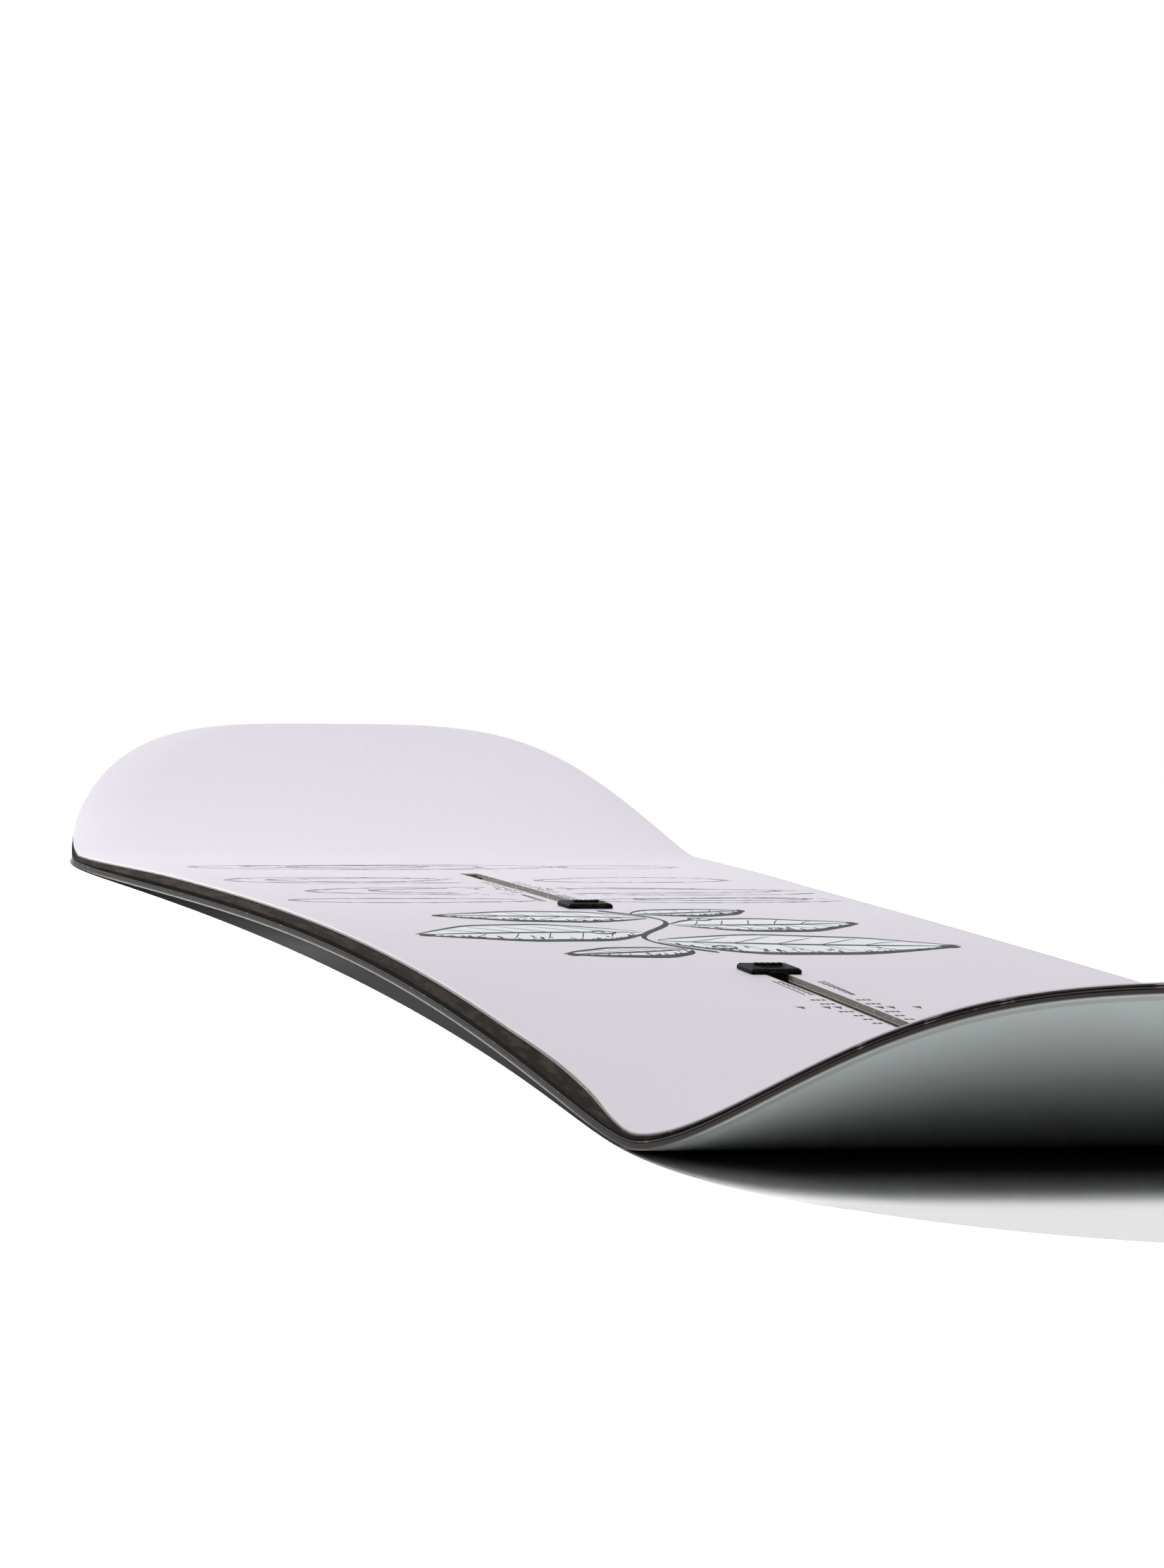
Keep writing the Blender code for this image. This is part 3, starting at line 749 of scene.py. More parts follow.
layers = {
    "edgeWidth": 0.0020, "edgeRound": 0.00012,
    "flangeReach": 0.0070,
    "edgeJoint": 0.0003,
    "baseSeam": 0.00002,
    "rubberRecess": 0.0003,
    "sidewallWidth": 0.0080, "sidewallRound": 0.0001,
    "sheetRound": 0.00012,
    "roundMiddle": 0.3,
}


def edgeLine():
    # the whole side, held back at each tip by half of the joint between the two edges
    line = list(sideLine)
    for end in (0, len(line) - 1):
        line[end] = (line[end][0], layers["edgeJoint"] / 2) + line[end][2:]
    return line


def buildBase():
    inset = layers["edgeWidth"] + layers["baseSeam"]
    piece = addSheet("base_running_sheet", [(inset, 0, 0), (inset, stack["base"], 0)])
    dress(piece, "base", "base_sheet")


def buildEdges():
    soft = layers["edgeRound"]
    width = layers["edgeWidth"]
    flange = layers["flangeReach"]
    recess = layers["rubberRecess"]
    steel = [
        (soft, 0, 0),
        (0, soft, 0),
        (0, stack["edge"] - soft, 0),
        (soft, stack["edge"], 0),
        (flange, stack["edge"], 0),
        (flange, stack["flangeFoot"], 0),
        (width, stack["flangeFoot"], 0),
        (width, 0, 0),
    ]
    rubber = [
        (recess, stack["rubberFoot"], 0),
        (recess, stack["rubberTop"], 0),
        (flange, stack["rubberTop"], 0),
        (flange, stack["rubberFoot"], 0),
    ]
    for side, sign in sides.items():
        piece = addStrip("ground_edge_" + side, edgeLine(), steel, sign)
        dress(piece, "steel_edge", "steel_edge_" + side)
        piece = addStrip("damping_strip_" + side, edgeLine(), rubber, sign)
        dress(piece, "rubber", "edge_rubber_" + side)


def buildGlass():
    outer = layers["flangeReach"] + board["seam"]
    high = stack["rubberTop"] + stack["rubberFoot"] - stack["edge"]
    cloth = stack["glassTop"] - stack["glassFoot"]
    rings = [(layers["sidewallWidth"], stack["flangeFoot"], 0), (outer, high, 0), (0, high, 0)]
    rings += [(inset, z + cloth, 0) for inset, z, extra in reversed(rings)]
    piece = addSheet("lower_glass_cloth", rings)
    dress(piece, "fibreglass", "lower_laminate", material=soakedGlass)
    rings = [(0, stack["glassFoot"], 0), (0, stack["glassTop"], 0)]
    piece = addSheet("upper_glass_cloth", rings, slots=True)
    dress(piece, "fibreglass", "upper_laminate")


def buildSidewalls():
    inner = layers["sidewallWidth"]
    soft = layers["sidewallRound"]
    joint = halfLength - board["spacerReach"]
    section = [
        (inner, stack["shoulder"], 0),
        (0, stack["shoulder"], soft),
        (0, stack["shoulder"] + soft, 0),
        (0, board["thickness"] - board["bevelHeight"], 0),
        (0, stack["coreTop"], 0),
        (inner, stack["coreTop"], 0),
    ]
    for side, sign in sides.items():
        line = lineBetween(board["seam"] - joint, joint - board["seam"])
        piece = addStrip("milled_sidewall_" + side, line, section, sign)
        dress(piece, "sidewall", "sidewall_" + side)


def buildTopsheet():
    soft = layers["sheetRound"]
    middle = soft * layers["roundMiddle"]
    rings = [
        (0, stack["topsheetFoot"], 0),
        (0, board["thickness"] - soft, 0),
        (0, board["thickness"] - middle, middle),
        (0, board["thickness"], soft),
    ]
    piece = addSheet("printed_topsheet", rings, slots=True)
    dress(piece, "topsheet", "topsheet")


def buildSpacers():
    inner = layers["sidewallWidth"] + board["seam"]
    joint = halfLength - board["spacerReach"]
    rings = [
        (inner, stack["coreFoot"], 0),
        (inner, stack["shoulder"], 0),
        (0, stack["shoulder"], 0),
        (0, stack["coreTop"], 0),
    ]
    for name, low, high in (("nose", -halfLength, -joint), ("tail", joint, halfLength)):
        piece = addSheet("tip_fill_" + name, rings, lineBetween(low, high))
        dress(piece, "sidewall", name + "_spacer")


buildBase()
buildEdges()
buildGlass()
buildSidewalls()
buildSpacers()
buildTopsheet()
print("layers laid")

# Print on the deck: a spray of veined leaves at the waist, thorny growth rings and the stance marks

pen = {
    "samples": 15,
    "nib": (0.0026, 0.00042),  # along the board and across it
    "even": (1, 1),  # a nib that leaves widths in metres
    "taper": 0.6,
    "layer": 0.000014,
    "foot": 0.00001,
    "dotSides": 7, "dotPitch": 4,
    "phases": (0, 6),
}
spray = {
    "seed": 11,
    "from": -0.122,
    "to": 0.080,
    "sway": 0.014,
    "stemParts": 4, "stemWeight": (1.5, 0.9),
    "stalk": 0.003,
    # share along the stem, side, the tip's shift towards the tail, the tip's y, width and bow
    "leaves": (
        (0.09, 1, -0.022, 0.060, 0.036, 0.004),
        (0.20, -1, -0.014, -0.072, 0.056, -0.006),
        (0.38, 1, -0.010, 0.088, 0.064, 0.008),
        (0.56, -1, 0.012, -0.096, 0.078, -0.010),
        (0.76, 1, 0.024, 0.098, 0.082, 0.010),
        (0.94, -1, 0.020, -0.058, 0.036, 0.006),
    ),
    # share across the blade, weight with its share at the ends, and from where to where
    "lines": (
        (1, (2.0, 0.2), (0, 1)),
        (-1, (1.1, 0.35), (0, 1)),
        (0, (1.0, 0.35), (0, 0.94)),
        (0.4, (2.4, 0.35), (0.93, 0.995)),
    ),
    "bladeSpan": (0.012, 0.985), "bladeLean": 0.82, "bladeFullness": 0.85,
    "ripple": 0.045, "ripples": 16,
    "veins": 5, "veinFrom": 0.10, "veinSpan": 0.72, "veinRun": (0.13, 0.82),
    "veinWeight": (0.34, 0.2),
    "dots": 70, "dotSpan": (0.05, 0.95), "dotSpread": 0.22, "dotEdge": 0.93,
    "dotSize": (0.0036, 0.00062), "dotScale": (0.6, 1.2),
    "berries": 3, "berryFrom": 0.7, "berryOffset": (0.010, 0.020), "berrySize": (0.0060, 0.0042),
    "berryFill": (0.0058, 0.0040), "berryWeight": 0.8, "berryDot": (0.0022, 0.0009),
    "berryDotShift": 0.001,
}
rings = {
    # x, y, and how wide and how deep each loop is
    "loops": (
        (-0.188, 0.066, 0.050, 0.016),
        (-0.196, 0.070, 0.036, 0.009),
        (-0.186, -0.064, 0.046, 0.015),
        (-0.250, 0.010, 0.098, 0.030),
        (-0.252, 0.014, 0.078, 0.020),
        (-0.330, -0.062, 0.052, 0.024),
        (-0.332, -0.060, 0.036, 0.014),
        (-0.335, 0.062, 0.044, 0.018),
        (-0.450, -0.030, 0.078, 0.026),
        (-0.452, -0.034, 0.056, 0.017),
        (-0.455, -0.038, 0.034, 0.009),
        (-0.455, 0.080, 0.030, 0.014),
    ),
    "wobbles": ((2, 0.12, 1), (3, 0.07, 2)),  # waves, depth and phases
    "stroke": 0.024,
    "weights": (0.35, 0.75),
    "thorns": (0.2, 0.7), "thorn": 0.0042, "thornLean": 0.7, "thornWeight": 0.34,
    "slotClear": 0.011, "slotOverrun": (0.02, 0.03),
    "sideClear": 0.012,
}
stance = {
    "row": 0.277,
    "triangles": (-0.0196, -0.0108, -0.0070, 0.0072, 0.0110, 0.0200),
    "triangleSize": (0.0075, 0.0016),
    "bluntness": 1.04,
    "ticks": (0.2525, 0.265, 0.289, 0.301, 0.3124, 0.324), "tickFrom": 0.0060,
    "tickPitch": 0.0018, "tickSize": (0.0018, 0.00068),
    "tickRows": 3, "fewerFrom": 0.3, "fewerRows": 2,
    "rules": (((0.189, -0.0073), (0.2362, -0.0080)), ((0.1895, 0.0105), (0.2367, 0.0093))),
    "ruleWidth": 0.00032,
    "scalePitch": 0.0023, "scaleShift": 0.0019, "scaleLength": 0.0008,
    "scaleWidths": (0.00042, 0.0007, 0.00098),
}
inkLook = {
    "specular": 0.05,
    "grain": ("Object", 1700, 3, 0.6),
    "spread": 0.12,
    "bump": (0.00001, 0.4),
}


def makePrint(name, color, roughness):
    low = tuple(part * (1 - inkLook["spread"]) for part in color)
    high = tuple(part * (1 + inkLook["spread"]) for part in color)
    shades = ("grain", list(zip(toneSpan, (low, high))))
    return makeFinish(name, {**inkLook, "color": color, "roughness": roughness, "shades": shades})


inks = {
    "dark": makePrint("printInk", (0.016, 0.017, 0.018), 0.5),
    "line": makePrint("printLine", (0.055, 0.055, 0.060), 0.5),
    "white": makePrint("printWhite", (0.75, 0.775, 0.80), 0.45),
    "red": makePrint("printRed", (0.13, 0.03, 0.035), 0.5),
}


def onDeck(x, y, lift, isTop):
    # a point of the print: its upper face has a lift, and its foot is just inside the deck
    return pressed(x, y, board["thickness"] + (lift if isTop else -pen["foot"]))


def addStrokes(name, strokes, ink):
    # strokes of (points, half widths, lift, nib), each a flat closed band, all made from one grid
    columns = pen["samples"]
    piece = addGrid(name, columns, 2 * len(strokes) - 1)
    removeFaces(piece, lambda face: int(face.center.y) % 2 == 1)
    applyModifier(piece, "SOLIDIFY", thickness=1, offset=0)
    for vert in piece.data.vertices:
        column = round(vert.co.x)
        index = round(vert.co.y)
        points, widths, lift, nib = strokes[index // 2]
        x, y = points[column]
        before = points[max(column - 1, 0)]
        after = points[min(column + 1, columns)]
        normal = Vector((before[1] - after[1], after[0] - before[0])).normalized()
        reach = math.hypot(normal.x * nib[0], normal.y * nib[1])
        push = widths[column] * (1 if index % 2 else -1) / reach
        x += normal.x * nib[0] ** 2 * push
        y += normal.y * nib[1] ** 2 * push
        vert.co = onDeck(x, y, lift, vert.co.z > 0)
    closeMesh(piece)
    dress(piece, "topsheet", material=inks[ink])


def addDots(name, dots, ink):
    # flat round dots of (x, y, lift, size), copied in one row and then put in their places
    pitch = pen["dotPitch"]
    bpy.ops.object.select_all(action="DESELECT")
    bpy.ops.mesh.primitive_cylinder_add(vertices=pen["dotSides"], radius=1, depth=1)
    piece = nameNew(name)
    spacing = {"use_relative_offset": False, "use_constant_offset": True}
    displace = (pitch, 0, 0)
    applyModifier(piece, "ARRAY", count=len(dots), constant_offset_displace=displace, **spacing)
    for vert in piece.data.vertices:
        index = round(vert.co.x / pitch)
        x, y, lift, size = dots[index]
        x += (vert.co.x - pitch * index) * size[0]
        vert.co = onDeck(x, y + vert.co.y * size[1], lift, vert.co.z > 0)
    closeMesh(piece)
    dress(piece, "topsheet", material=inks[ink])


def sampled(curve, low=0, high=1):
    count = pen["samples"]
    return [curve(low + (high - low) * step / count) for step in range(count + 1)]


def tapered(width, ends=0.35):
    # half widths that swell from a share of the width at the ends
    return sampled(lambda t: width * (ends + (1 - ends) * math.sin(math.pi * t) ** pen["taper"]))


def inkLine(curve, weight, lift, span=(0, 1)):
    # a stroke of the nib along a span of a curve: its weight is a width, and its share at the ends
    return sampled(curve, *span), tapered(*weight), lift, pen["nib"]


def makeLeaf(base, tip, width, bow, lift, art):
    # one leaf: its white blade, outlines that are bolder towards the tail, a rib, veins and stipple
    across = Vector((base[1] - tip[1], tip[0] - base[0])).normalized()
    if across.x < 0:
        across = -across
    bend = (Vector(base) + Vector(tip)) / 2 + across * bow
    phase = random.uniform(*pen["phases"])
    ink = lift + pen["layer"] / 2

    def rib(t):
        return Vector(base) * (1 - t) ** 2 + bend * 2 * t * (1 - t) + Vector(tip) * t**2

    def half(t):
        ripple = 1 + spray["ripple"] * math.sin(spray["ripples"] * t + phase)
        turn = math.pi * clamp(t, *spray["bladeSpan"]) ** spray["bladeLean"]
        return width / 2 * ripple * math.sin(turn) ** spray["bladeFullness"]

    def onBlade(t, share):
        place = rib(t) + across * half(t) * share
        return place.x, place.y

    art["fills"].append((sampled(rib), sampled(half), lift, pen["even"]))
    for share, weight, span in spray["lines"]:
        art["ink"].append(inkLine(lambda t: onBlade(t, share), weight, ink, span))
    run, reach = spray["veinRun"]
    for vein in range(spray["veins"]):
        start = spray["veinFrom"] + spray["veinSpan"] * vein / spray["veins"]
        for far in (-reach, reach):
            line = inkLine(lambda t: onBlade(start + run * t, far * t), spray["veinWeight"], ink)
            art["ink"].append(line)
    for dot in range(spray["dots"]):
        t = random.uniform(*spray["dotSpan"])
        share = 1 - abs(random.gauss(0, spray["dotSpread"]))
        if share > 0:
            x, y = onBlade(t, min(share, spray["dotEdge"]))
            scale = random.uniform(*spray["dotScale"])
            art["dots"].append((x, y, ink, [part * scale for part in spray["dotSize"]]))


def addBerry(x, y, lift, art):
    long, wide = spray["berrySize"]
    circle = sampled(lambda t: (x + long * math.cos(math.tau * t), y + wide * math.sin(math.tau * t)))
    weights = [spray["berryWeight"]] * len(circle)
    layer = pen["layer"]
    art["berries"].append((x, y, lift + layer / 2, spray["berryFill"]))
    art["ink"].append((circle, weights, lift + layer, pen["nib"]))
    art["dots"].append((x - spray["berryDotShift"], y, lift + layer * 1.5, spray["berryDot"]))


def addSpray():
    random.seed(spray["seed"])
    art = {"fills": [], "ink": [], "dots": [], "berries": []}
    reach = spray["to"] - spray["from"]

    def stem(t):
        return spray["from"] + reach * t, spray["sway"] * math.sin(math.tau * t)

    lift = pen["layer"]
    for share, side, shift, tipY, width, bow in spray["leaves"]:
        x, y = stem(share)
        makeLeaf((x, y + side * spray["stalk"]), (x + shift, tipY), width, bow, lift, art)
        lift += pen["layer"]
    parts = spray["stemParts"]
    for part in range(parts):
        span = (part / parts, (part + 1) / parts)
        art["ink"].append(inkLine(stem, spray["stemWeight"], lift, span))
    for berry in range(spray["berries"]):
        x, y = stem((berry + spray["berryFrom"]) / spray["berries"])
        y += random.choice((-1, 1)) * random.uniform(*spray["berryOffset"])
        addBerry(x, y, lift, art)
    addStrokes("leaf_blades", art["fills"], "white")
    addStrokes("leaf_ink", art["ink"], "dark")
    addDots("leaf_stipple", art["dots"], "dark")
    addDots("berry_fills", art["berries"], "white")


def addRings():
    # thin thorny loops, like contour lines, that keep clear of the channel and of the sides
    strokes = []
    low, high = sorted(slotEnds(channelSigns["front"]))
    low -= rings["slotOverrun"][0]
    high += rings["slotOverrun"][1]

    def isClear(x, y):
        inSlot = abs(y) < rings["slotClear"] and low < x < high
        return not inSlot and abs(y) < halfWidth(x) - rings["sideClear"]

    for x, y, wide, deep in rings["loops"]:
        phase = random.uniform(*pen["phases"])

        def loop(turn):
            wobble = 1
            for waves, depth, phases in rings["wobbles"]:
                wobble += depth * math.sin(waves * turn + phases * phase)
            return x + deep * wobble * math.cos(turn), y + wide * wobble * math.sin(turn)

        steps = round(math.tau * wide / rings["stroke"])
        turn = math.tau / steps
        for step in range(steps):
            line = sampled(loop, step * turn, (step + 1) * turn)
            if all(isClear(*point) for point in line):
                weight = random.uniform(*rings["weights"])
                strokes.append((line, tapered(weight), pen["layer"], pen["nib"]))
            for thorn in rings["thorns"]:
                start = loop((step + thorn) * turn)
                lean = random.uniform(-1, 1) * rings["thorn"] * rings["thornLean"]
                line = sampled(lambda t: (start[0] + t * lean, start[1] + t * rings["thorn"]))
                if all(isClear(*point) for point in line):
                    strokes.append((line, tapered(rings["thornWeight"]), pen["layer"], pen["nib"]))
    addStrokes("growth_rings", strokes, "line")


def addStanceMarks():
    # straight marks, given for the rear channel and turned half round for the front one
    marks = []
    reds = []

    def draw(strokes, first, last, widths):
        for sign in channelSigns.values():
            shift = channel["setback"] * (1 - sign)
            start, end = [(sign * x + shift, sign * y) for x, y in (first, last)]
            line = sampled(lambda t: [low + (high - low) * t for low, high in zip(start, end)])
            strokes.append((line, widths, pen["layer"], pen["even"]))

    def even(width):
        return sampled(lambda t: width)

    long, wide = stance["triangleSize"]
    for y in stance["triangles"]:
        ends = (stance["row"] - long / 2, y), (stance["row"] + long / 2, y)
        draw(reds, *ends, sampled(lambda t: wide * (stance["bluntness"] - t)))
    long, wide = stance["tickSize"]
    for x in stance["ticks"]:
        rows = stance["fewerRows" if x > stance["fewerFrom"] else "tickRows"]
        for side in (-1, 1):
            for step in range(rows):
                y = side * (stance["tickFrom"] + stance["tickPitch"] * step)
                draw(marks, (x - long, y), (x + long, y), even(wide))
    long = stance["scaleLength"]
    for first, last in stance["rules"]:
        draw(marks, first, last, even(stance["ruleWidth"]))
        y = first[1] - math.copysign(stance["scaleShift"], first[1])
        for step in range(1, round((last[0] - first[0]) / stance["scalePitch"])):
            x = first[0] + step * stance["scalePitch"]
            width = stance["scaleWidths"][step % len(stance["scaleWidths"])]
            draw(marks, (x - long, y), (x + long, y), even(width))
    addStrokes("stance_marks", marks, "dark")
    addStrokes("stance_triangles", reds, "red")


addSpray()
addRings()
addStanceMarks()
print("deck printed")

# Binding channels


def railSection():
    # half of the rail, from its foot round to its floor: ribs in the mouth, a ledge and a groove
    mouth = channel["mouth"] / 2
    outer = channel["width"] / 2 - board["seam"]
    rim = mouth + channel["rim"]
    top = board["thickness"]
    soft = channel["soft"]
    points = [
        (outer, stack["coreFoot"]),
        (outer, stack["coreTop"]),
        (rim, stack["coreTop"]),
        (rim, top - soft),
        (rim - soft, top),
    ]
    count = channel["ribs"] * channel["ribPoints"]
    for step in range(count + 1):
        wave = 0.5 - 0.5 * math.cos(math.tau * step / channel["ribPoints"])
        y = mouth + channel["ribSet"] + channel["ribDepth"] * wave
        points.append((y, top - channel["ribRun"] * step / count))
    grooveTop = top - channel["ledgeFoot"] - channel["ledgeFront"]
    points += [
        (mouth + channel["ledgeDepth"], top - channel["ribRun"] - soft),
        (mouth, top - channel["ledgeFoot"]),
        (mouth, grooveTop),
        (mouth + channel["grooveDepth"], grooveTop - soft),
        (mouth + channel["grooveDepth"], top - channel["grooveFoot"]),
        (mouth, top - channel["grooveFoot"] - soft),
        (mouth, top - channel["lip"]),
        (channel["undercut"] / 2, top - channel["lip"]),
        (channel["undercut"] / 2, top - channel["depth"]),
    ]
    return points


def stopSection():
    floor = board["thickness"] - channel["depth"] + board["seam"]
    top = board["thickness"] - channel["stopDrop"]
    foot = channel["undercut"] / 2 - board["seam"]
    neck = channel["mouth"] / 2 - board["seam"]
    return [
        (foot, floor),
        (foot, floor + channel["stopFoot"]),
        (neck, floor + channel["stopFoot"]),
        (neck, top - channel["soft"]),
        (neck - channel["soft"], top),
    ]


def buildChannels():
    for name, sign in channelSigns.items():
        start, end = slotEnds(sign)
        start += sign * board["seam"]
        end -= sign * board["seam"]
        piece = addRun("ribbed_rail_" + name, railSection(), *sorted((start, end)))
        dress(piece, "channel_rail", name + "_channel")
        start = end - sign * channel["stopLength"]
        piece = addRun("rail_stop_" + name, stopSection(), *sorted((start, end)))
        dress(piece, "plug", name + "_channel_end_stop")


buildChannels()
print("channels let in")

# Plugs, modelled flat at the origin with the channel towards +X and the deck at z = 0

plug = {
    "length": 0.0235,
    "width": 0.0180,
    "thickness": 0.0021,
    "bevel": 0.0008,
    "corner": 0.0012,
    "overhang": 0.0040,
    "overrun": 0.0020,
    "fit": 0.00015,
    "stemDepth": 0.0042,
    "slit": 0.0018,
    "chamfer": 0.0009,
    "scoopLength": 0.0085, "scoopWidth": 0.0105, "scoopDepth": 0.0008, "scoopCorner": 0.0028,
    "scoopFloor": 0.55,
    "catchWidth": 0.0098, "catchLength": 0.0026, "catchHeight": 0.0009, "catchGap": 0.0004,
    "teeth": 5, "toothDepth": 0.0003, "toothFlank": 0.2,
    "soft": 0.00014, "softSteps": 2,
    "scoopSteps": 3,
    "cornerSteps": 6,
    "smoothAngle": 28,
}


def addBox(name, low, high):
    middle = (Vector(low) + Vector(high)) / 2
    bpy.ops.object.select_all(action="DESELECT")
    bpy.ops.mesh.primitive_cube_add(size=1, location=middle, scale=Vector(high) - Vector(low))
    applyPlace()
    return nameNew(name)


def bevelEdges(piece, wanted, width, segments):
    # rounds the edges whose two ends pass a test
    openMesh(piece, "DESELECT", "EDGE")
    leaveMesh()
    points = [vert.co for vert in piece.data.vertices]
    for edge in piece.data.edges:
        edge.select = wanted(*[points[index] for index in edge.vertices])
    bpy.ops.object.mode_set(mode="EDIT")
    bpy.ops.mesh.bevel(offset=width, segments=segments, affect="EDGES")
    leaveMesh()


def isUpright(first, second):
    return abs(first.z - second.z) > abs(first.x - second.x) + abs(first.y - second.y)


def soften(piece, width):
    angle = math.radians(fine["softAngle"])
    limit = {"limit_method": "ANGLE", "angle_limit": angle}
    applyModifier(piece, "BEVEL", width=width, segments=plug["softSteps"], **limit)


def combine(piece, tool, operation):
    applyModifier(piece, "BOOLEAN", operation=operation, object=tool)
    bpy.data.objects.remove(tool)


def addPlate(name):
    half = plug["length"] / 2
    side = plug["width"] / 2
    top = plug["thickness"]
    plate = addBox(name, (-half, -side, plug["fit"]), (half, side, top))
    bevelEdges(plate, isUpright, plug["corner"], plug["cornerSteps"])
    bevelEdges(plate, lambda a, b: min(a.z, b.z) > top - fine["level"], plug["bevel"], 1)
    soften(plate, plug["soft"])
    return plate


def addScoop():
    # the fingertip's hollow, as a tool that is cut out of the plate
    side = plug["scoopWidth"] / 2
    top = plug["thickness"]
    floor = top - plug["scoopDepth"]
    scoop = addBox("scoop", (0, -side, floor), (plug["scoopLength"], side, top))
    bevelEdges(scoop, isUpright, plug["scoopCorner"], plug["cornerSteps"])
    middle = plug["scoopLength"] / 2
    for vert in scoop.data.vertices:
        if vert.co.z < floor + fine["level"]:
            vert.co.x = middle + (vert.co.x - middle) * plug["scoopFloor"]
            vert.co.y *= plug["scoopFloor"]

    def isFloor(a, b):
        return max(a.z, b.z) < floor + fine["level"]

    bevelEdges(scoop, isFloor, plug["soft"] * 2, plug["scoopSteps"])
    selectFaces(scoop, lambda face: face.normal.z > 0.9)  # its top
    bpy.ops.mesh.extrude_region_move(TRANSFORM_OT_translate={"value": (0, 0, plug["scoopDepth"])})
    leaveMesh()
    return scoop


def addCatch():
    side = plug["catchWidth"] / 2
    top = plug["thickness"] + plug["catchHeight"]
    low = (-plug["catchGap"] - plug["catchLength"], -side, plug["thickness"] / 2)
    catch = addBox("catch", low, (-plug["catchGap"], side, top))
    tooth = plug["catchWidth"] / plug["teeth"]
    flank = tooth * plug["toothFlank"]
    cuts = [index * tooth - side for index in range(1, plug["teeth"])]
    for cut in cuts:
        for shift in (-flank, 0, flank):
            openMesh(catch)
            bpy.ops.mesh.bisect(plane_co=(0, cut + shift, 0), plane_no=(0, 1, 0))
            leaveMesh()
    for vert in catch.data.vertices:
        isAtCut = min(abs(vert.co.y - cut) for cut in cuts) < fine["level"]
        if isAtCut and vert.co.z > top - fine["level"]:
            vert.co.z -= plug["toothDepth"]
    soften(catch, plug["soft"] / 2)
    return catch


def addStem():
    half = channel["mouth"] / 2 - plug["fit"]
    low = plug["overhang"] + plug["fit"] - plug["length"] / 2
    high = plug["length"] / 2 + plug["overrun"]
    foot = -plug["stemDepth"]
    stem = addBox("stem", (low, -half, foot), (high, half, plug["thickness"] / 2))

    def isLongFoot(a, b):
        return max(a.z, b.z) < foot + fine["level"] and abs(a.y - b.y) < fine["level"]

    bevelEdges(stem, isLongFoot, plug["chamfer"], 1)
    soften(stem, plug["soft"])
    slit = plug["slit"] / 2
    gap = addBox("slit", (low - slit, -slit, foot - slit), (high + slit, slit, -plug["fit"]))
    combine(stem, gap, "DIFFERENCE")
    return stem


def buildPlugs():
    for name, sign in channelSigns.items():
        piece = addPlate("finger_plug_" + name)
        combine(piece, addScoop(), "DIFFERENCE")
        combine(piece, addCatch(), "UNION")
        combine(piece, addStem(), "UNION")
        middle = slotEnds(sign)[0] + sign * (plug["length"] / 2 - plug["overhang"])
        reach = plug["length"] / 2 + plug["overrun"]
        low = pressed(middle - reach, 0, board["thickness"])
        high = pressed(middle + reach, 0, board["thickness"])
        tilt = Matrix.Rotation(-math.atan2(high.z - low.z, high.x - low.x), 4, "Y")
        turn = Matrix.Rotation(math.pi if sign < 0 else 0, 4, "Z")
        piece.matrix_world = Matrix.Translation((low + high) / 2) @ tilt @ turn
        activate(piece)
        applyPlace()
        closeMesh(piece, plug["smoothAngle"])
        dress(piece, "plug", name + "_plug", name + "_plug")


buildPlugs()
print("plugs seated")

# Camera, floor and light

camera = {
    "photoHeight": 2226,
    "place": (2.0826, -0.4895, 0.1783),
    "focalPixels": 8114.36,
    "yaw": 12.3401,
    "pitch": 2.9201,
    "roll": 0.936,
    "sensor": 36.0,
    "clip": (0.05, 60),
}


def addCamera():
    data = bpy.data.cameras.new("photoCamera")
    data.sensor_width = camera["sensor"]
    data.lens = camera["focalPixels"] * camera["sensor"] / camera["photoHeight"]
    data.clip_start, data.clip_end = camera["clip"]
    yaw, pitch, roll = (math.radians(camera[turn]) for turn in ("yaw", "pitch", "roll"))
    level = Vector((-math.cos(yaw), math.sin(yaw), 0))
    forward = level * math.cos(pitch) - Vector((0, 0, math.sin(pitch)))
    right = forward.cross(Vector((0, 0, 1))).normalized()
    up = right.cross(forward)
    tiltedRight = right * math.cos(roll) + up * math.sin(roll)
    tiltedUp = up * math.cos(roll) - right * math.sin(roll)
    item = bpy.data.objects.new("photoCamera", data)
    bpy.context.scene.collection.objects.link(item)
    turn = Matrix((tiltedRight, tiltedUp, -forward)).transposed().to_4x4()
    item.matrix_world = Matrix.Translation(camera["place"]) @ turn
    bpy.context.scene.camera = item


studio = {
    "floorSize": 60, "floorDrop": 0.00008, "floorColor": 0.95,
    # painted shade: where the floor turns dark to bounced light and to reflections, which the camera
    # doesn't see
    "darkFloor": 0.10,
    "cameraGain": 2.6,
    "whiteSpan": (0.95, 1.6),
    "darkSpan": (0.84, 1.2),
    "mirrorSpan": (0.4, 0.8),
    "skyForObjects": 0.14,
    "darkRoom": 0.03,
    "backdropSpan": (0.1, -0.45),
}
